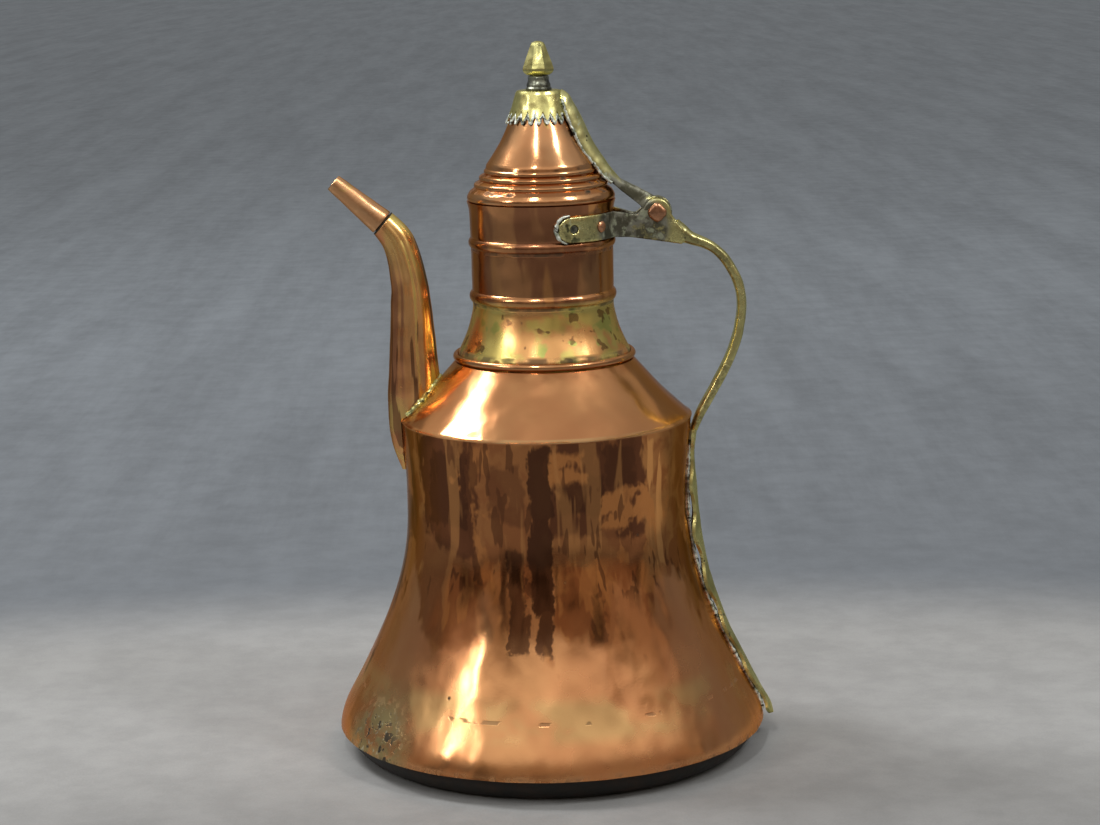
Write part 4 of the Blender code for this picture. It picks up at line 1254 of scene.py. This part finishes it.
# ================================================================ solder and crusts
def bead_line(name, points, radii, material, body, slot, lumpy=0.5, seed=0.0):
    """Lumpy bead of solder along a line of points in millimetres."""
    path = smooth_curve([(*point, radius) for point, radius in zip(points, radii)], 8)
    rings = []
    sides = 14
    for i, (x, y, z, radius) in enumerate(path):
        before, after = neighbours(path, i)
        heading = (Vector(after[:3]) - Vector(before[:3])).normalized()
        first = heading.orthogonal().normalized()
        if i:
            first = (previous - heading * previous.dot(heading)).normalized()
        previous = first
        second = heading.cross(first)
        ring = []
        for k in range(sides):
            angle = 2 * math.pi * k / sides
            middle = Vector((x, y, z))
            swell = 1 + lumpy * noise.noise(Vector((x, y, z + seed)) / 1.7 + first * math.cos(angle))
            ring.append(middle + (first * math.cos(angle) + second * math.sin(angle)) * radius * swell)
        rings.append(ring)
    return place(skin(name, rings, material), body, slot)


def radius_at(height):
    """Outer radius of the wall at a height."""
    line = wall_points(8)
    for (low_radius, low), (high_radius, high) in zip(line, line[1:]):
        if low <= height <= high:
            return low_radius + (high_radius - low_radius) * (height - low) / (high - low)
    return line[0][0] if height < line[0][1] else line[-1][0]


def make_solder_beads(solder, braze):
    """Fillets where pieces were soldered: strap, bracket arms, tail and the spout's root."""
    for side, label in ((-1, "near"), (1, "far")):
        edge = []
        radii = []
        for station in strap_stations()[5:43:3]:
            ring = strap_ring(station)
            rim = ring[0 if side < 0 else STRAP_ARCH_POINTS - 1]
            edge.append((rim.x - 0.2, rim.y, rim.z))
            radii.append(0.75)
        bead_line("strap_solder_" + label, edge, radii, solder, "lid", "tarnished_metal", 0.7, side)
        arm = [on_neck(37.0, side * degrees, height) for degrees, height in
               ((70, 262.8), (75.5, 264.6), (78.6, 268.2), (78.4, 272.2), (74.6, 275.4), (68, 276.6))]
        bead_line("arm_solder_" + label, [tuple(point) for point in arm], [0.5, 0.9, 1.1, 1.0, 0.8, 0.4],
                  solder, "vessel", "tarnished_metal", 0.6, side * 2)
        tail_edge = []
        for top, _ in tail_sections()[8:-6:4]:
            edge = top[0 if side < 0 else -1]
            wall_y = 5.6 * side
            radius = radius_at(edge.z)
            tail_edge.append((math.sqrt(radius ** 2 - wall_y ** 2) + 0.35, wall_y, edge.z))
        bead_line("tail_solder_" + label, tail_edge, [0.8] * len(tail_edge), solder, "vessel",
                  "tarnished_metal", 1.0, side * 3)
    zigzag = []
    steps = CROWN_TEETH * 4
    for i in range(steps + 1):
        low = 1 - abs((i / 4 + 0.5) % 1 - 0.5) * 2
        height = 324.7 - 4.6 * low + 0.5 * noise.noise(Vector((i * 0.7, 0.0, 0.0)))
        degrees = i * 360 / steps + 14
        if not -38 < (degrees + 180) % 360 - 180 < 38:
            zigzag.append(tuple(on_neck(14.2 + 2.0 * low, degrees, height)))
    turning = min(range(len(zigzag) - 1), key=lambda i: -math.dist(zigzag[i], zigzag[i + 1]))
    zigzag = zigzag[turning + 1:] + zigzag[:turning + 1]
    bead_line("crown_solder", zigzag, [0.62] * len(zigzag), solder, "lid", "tarnished_metal", 0.8, 9.0)
    root = []
    for degrees in range(-150, 151, 15):
        angle = math.radians(degrees)
        y = 11.6 * math.sin(angle)
        x = -66.4 + 13.0 * math.cos(angle)
        radius = math.hypot(x, y)
        if radius < CREASE_RADIUS - 1:
            height = CREASE_HEIGHT + (CREASE_RADIUS - radius) * 1.03
            root.append((x, y, height + 0.2))
    bead_line("spout_root_braze", root, [1.5] * len(root), braze, "vessel", "hammered_copper", 0.4, 5.0)


# ================================================================ stage
FLOOR_RADIUS = 30.0
FLOOR_CENTRE = (0.0, -1.2, 0.0)
LIGHT_TARGET = Vector((0.0, 0.0, 0.17))
# name, direction from the pot, distance in metres, width and height in metres, watts
LIGHTS = (
    ("window_left_front", (-0.745, -0.49, 0.46), 2.2, (0.15, 0.60), 5.5),
    ("window_left_back", (-0.56, 0.22, 0.80), 2.2, (0.50, 0.70), 26.0),
    ("lamp_front", (-0.16, -0.63, 0.845), 1.5, (0.10, 0.42), 5.0),
    ("lamp_right", (0.60, -0.385, 0.785), 1.5, (0.18, 0.32), 5.6))
CAMERA_PLACE = (0.0022, -1.295, 0.4206)
CAMERA_LENS = 84.75
CAMERA_PITCH = 10.85           # degrees down
CAMERA_ROLL = 1.234            # degrees


def make_stage():
    """Pale floor cloth that turns grey behind the pot."""
    bpy.ops.mesh.primitive_circle_add(vertices=96, radius=FLOOR_RADIUS, fill_type="NGON",
                                      location=(0, 0, 0))
    floor = bpy.context.object
    floor.name = "floor"
    g = Graph("pale floor")
    away = g.vector("DISTANCE", g.position, FLOOR_CENTRE)
    felt = g.cloud(30.0, 5.0, 0.7)
    folds = g.cloud(12.0, 6.0, 0.75, g.stretched((1.0, 0.12, 1.0)))
    far_side = g.remap(away, 1.40, 1.80)
    mottle = g.plus(g.remap(felt, 0.3, 0.7, 0.92, 1.08),
                    g.times(far_side, g.remap(folds, 0.3, 0.7, -0.13, 0.13)))
    # Darker floor in front of the pot, towards the camera: painted shade.
    mottle = g.times(mottle, g.remap(away, 1.06, 1.22, 0.74, 1.0))
    weave = g.remap(g.cloud(900.0, 2.0), 0.3, 0.7, 0.97, 1.03)
    drape = g.mix(g.remap(away, 1.50, 3.20), (0.140, 0.154, 0.170), (0.222, 0.247, 0.274))
    colour = g.mix(g.remap(away, 1.38, 1.56), (0.308, 0.308, 0.302), drape)
    shade = g.add("ShaderNodeVectorMath", {"operation": "SCALE"}, {"Scale": g.times(mottle, weave)})
    g.feed(shade.inputs[0], colour)
    g.done(shade.outputs["Vector"], 0.85, 0.0, g.bump(g.cloud(700.0), 0.2, 0.3))
    floor.data.materials.append(g.material)


def soft_box(name, direction, distance, size, power):
    """Rectangular light that faces the pot from a direction."""
    light = bpy.data.lights.new(name, "AREA")
    light.shape = "RECTANGLE"
    light.size, light.size_y = size
    light.energy = power
    lamp = bpy.data.objects.new(name, light)
    way = Vector(direction).normalized()
    lamp.location = LIGHT_TARGET + way * distance
    lamp.rotation_euler = way.to_track_quat("Z", "Y").to_euler()
    bpy.context.scene.collection.objects.link(lamp)


def make_world():
    """Soft sky: pale ceiling, darker brown room towards the viewer, grey behind."""
    world = bpy.data.worlds.new("studio")
    bpy.context.scene.world = world
    world.use_nodes = True
    g = Nodes(world.node_tree)
    background = g.tree.nodes["Background"]
    direction = g.add("ShaderNodeTexCoord").outputs["Generated"]
    parts = g.add("ShaderNodeSeparateXYZ", None, {"Vector": direction}).outputs
    bars = g.add("ShaderNodeMapping", None, {"Vector": direction, "Scale": (1.0, 1.0, 0.3)})
    figures = g.add("ShaderNodeTexNoise", None, {"Vector": bars.outputs[0], "Scale": 7.0, "Detail": 2.0})
    figures = figures.outputs["Fac"]
    skyline = g.add("ShaderNodeMath", {"operation": "MULTIPLY_ADD"}, {0: figures, 1: -0.30, 2: parts["Z"]})
    room = g.mix(g.remap(figures, 0.44, 0.54), (0.05, 0.036, 0.028), (0.34, 0.27, 0.21))
    horizon = g.mix(g.remap(parts["Y"], -0.25, 0.35), room, (0.21, 0.22, 0.24))
    ceiling = g.mix(g.remap(parts["Z"], 0.62, 0.92), (0.86, 0.84, 0.80), (0.53, 0.52, 0.50))
    ceiling = g.mix(g.remap(parts["Y"], -0.30, 0.30), ceiling, (0.50, 0.50, 0.50))
    sky = g.mix(g.remap(skyline.outputs[0], 0.27, 0.33), horizon, ceiling)
    g.feed(background.inputs["Color"], sky)
    background.inputs["Strength"].default_value = 1.0


def make_camera():
    """Long lens from slightly above, in front of the pot."""
    camera = bpy.data.cameras.new("camera")
    camera.sensor_width = 36.0
    camera.lens = CAMERA_LENS
    eye = bpy.data.objects.new("camera", camera)
    eye.location = CAMERA_PLACE
    upright = Matrix.Rotation(math.radians(90.0 - CAMERA_PITCH), 4, "X")
    aim = upright @ Matrix.Rotation(math.radians(-CAMERA_ROLL), 4, "Z")
    eye.rotation_euler = aim.to_euler()
    bpy.context.scene.collection.objects.link(eye)
    bpy.context.scene.camera = eye


# ================================================================ assembly
def main():
    body_copper = make_body_copper()
    neck_copper = make_neck_copper()
    lid_copper = make_lid_copper()
    inner_copper = make_inner_copper()
    rivet_copper = make_rivet_copper()
    solder = make_solder()
    braze = make_root_solder()
    tarnished = make_tarnished()
    rubbed_brass = make_brass("rubbed brass", 0.20, 0.34, 0.4)
    strap_brass = make_strap_brass()
    tail_brass = make_brass("tail brass", 0.22, 0.42, 0.6)
    make_body(body_copper)
    make_shoulder(make_shoulder_copper())
    make_neck(neck_copper)
    make_foot_ring(lid_copper)
    make_pan(make_soot())
    make_spout(make_spout_copper())
    make_sleeve(make_sleeve_copper())
    make_lid(lid_copper)
    make_lid_skirt(inner_copper)
    make_crown(rubbed_brass)
    make_strap(strap_brass)
    make_bud(rubbed_brass)
    make_bud_collar(tarnished)
    make_bow(make_fork_brass())
    make_tail(tail_brass)
    make_pin(rivet_copper)
    for side_name, side in (("near", -1), ("far", 1)):
        for place_name, degrees in (("back", 40.0), ("front", 65.0)):
            lost = (side_name, place_name) == ("near", "front")
            node = "neck_rivet_%s_%s" % (side_name, place_name)
            make_rivet("rivet_%s_%s" % (side_name, place_name), side * degrees, not lost,
                       tarnished if lost else rivet_copper,
                       "tarnished_metal" if lost else "hammered_copper", node)
    make_solder_beads(solder, braze)
    dress(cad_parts["finial_washer"], inner_copper)
    make_stage()
    make_world()
    for light in LIGHTS:
        soft_box(*light)
    make_camera()
    bpy.context.scene.view_settings.view_transform = "Standard"


main()
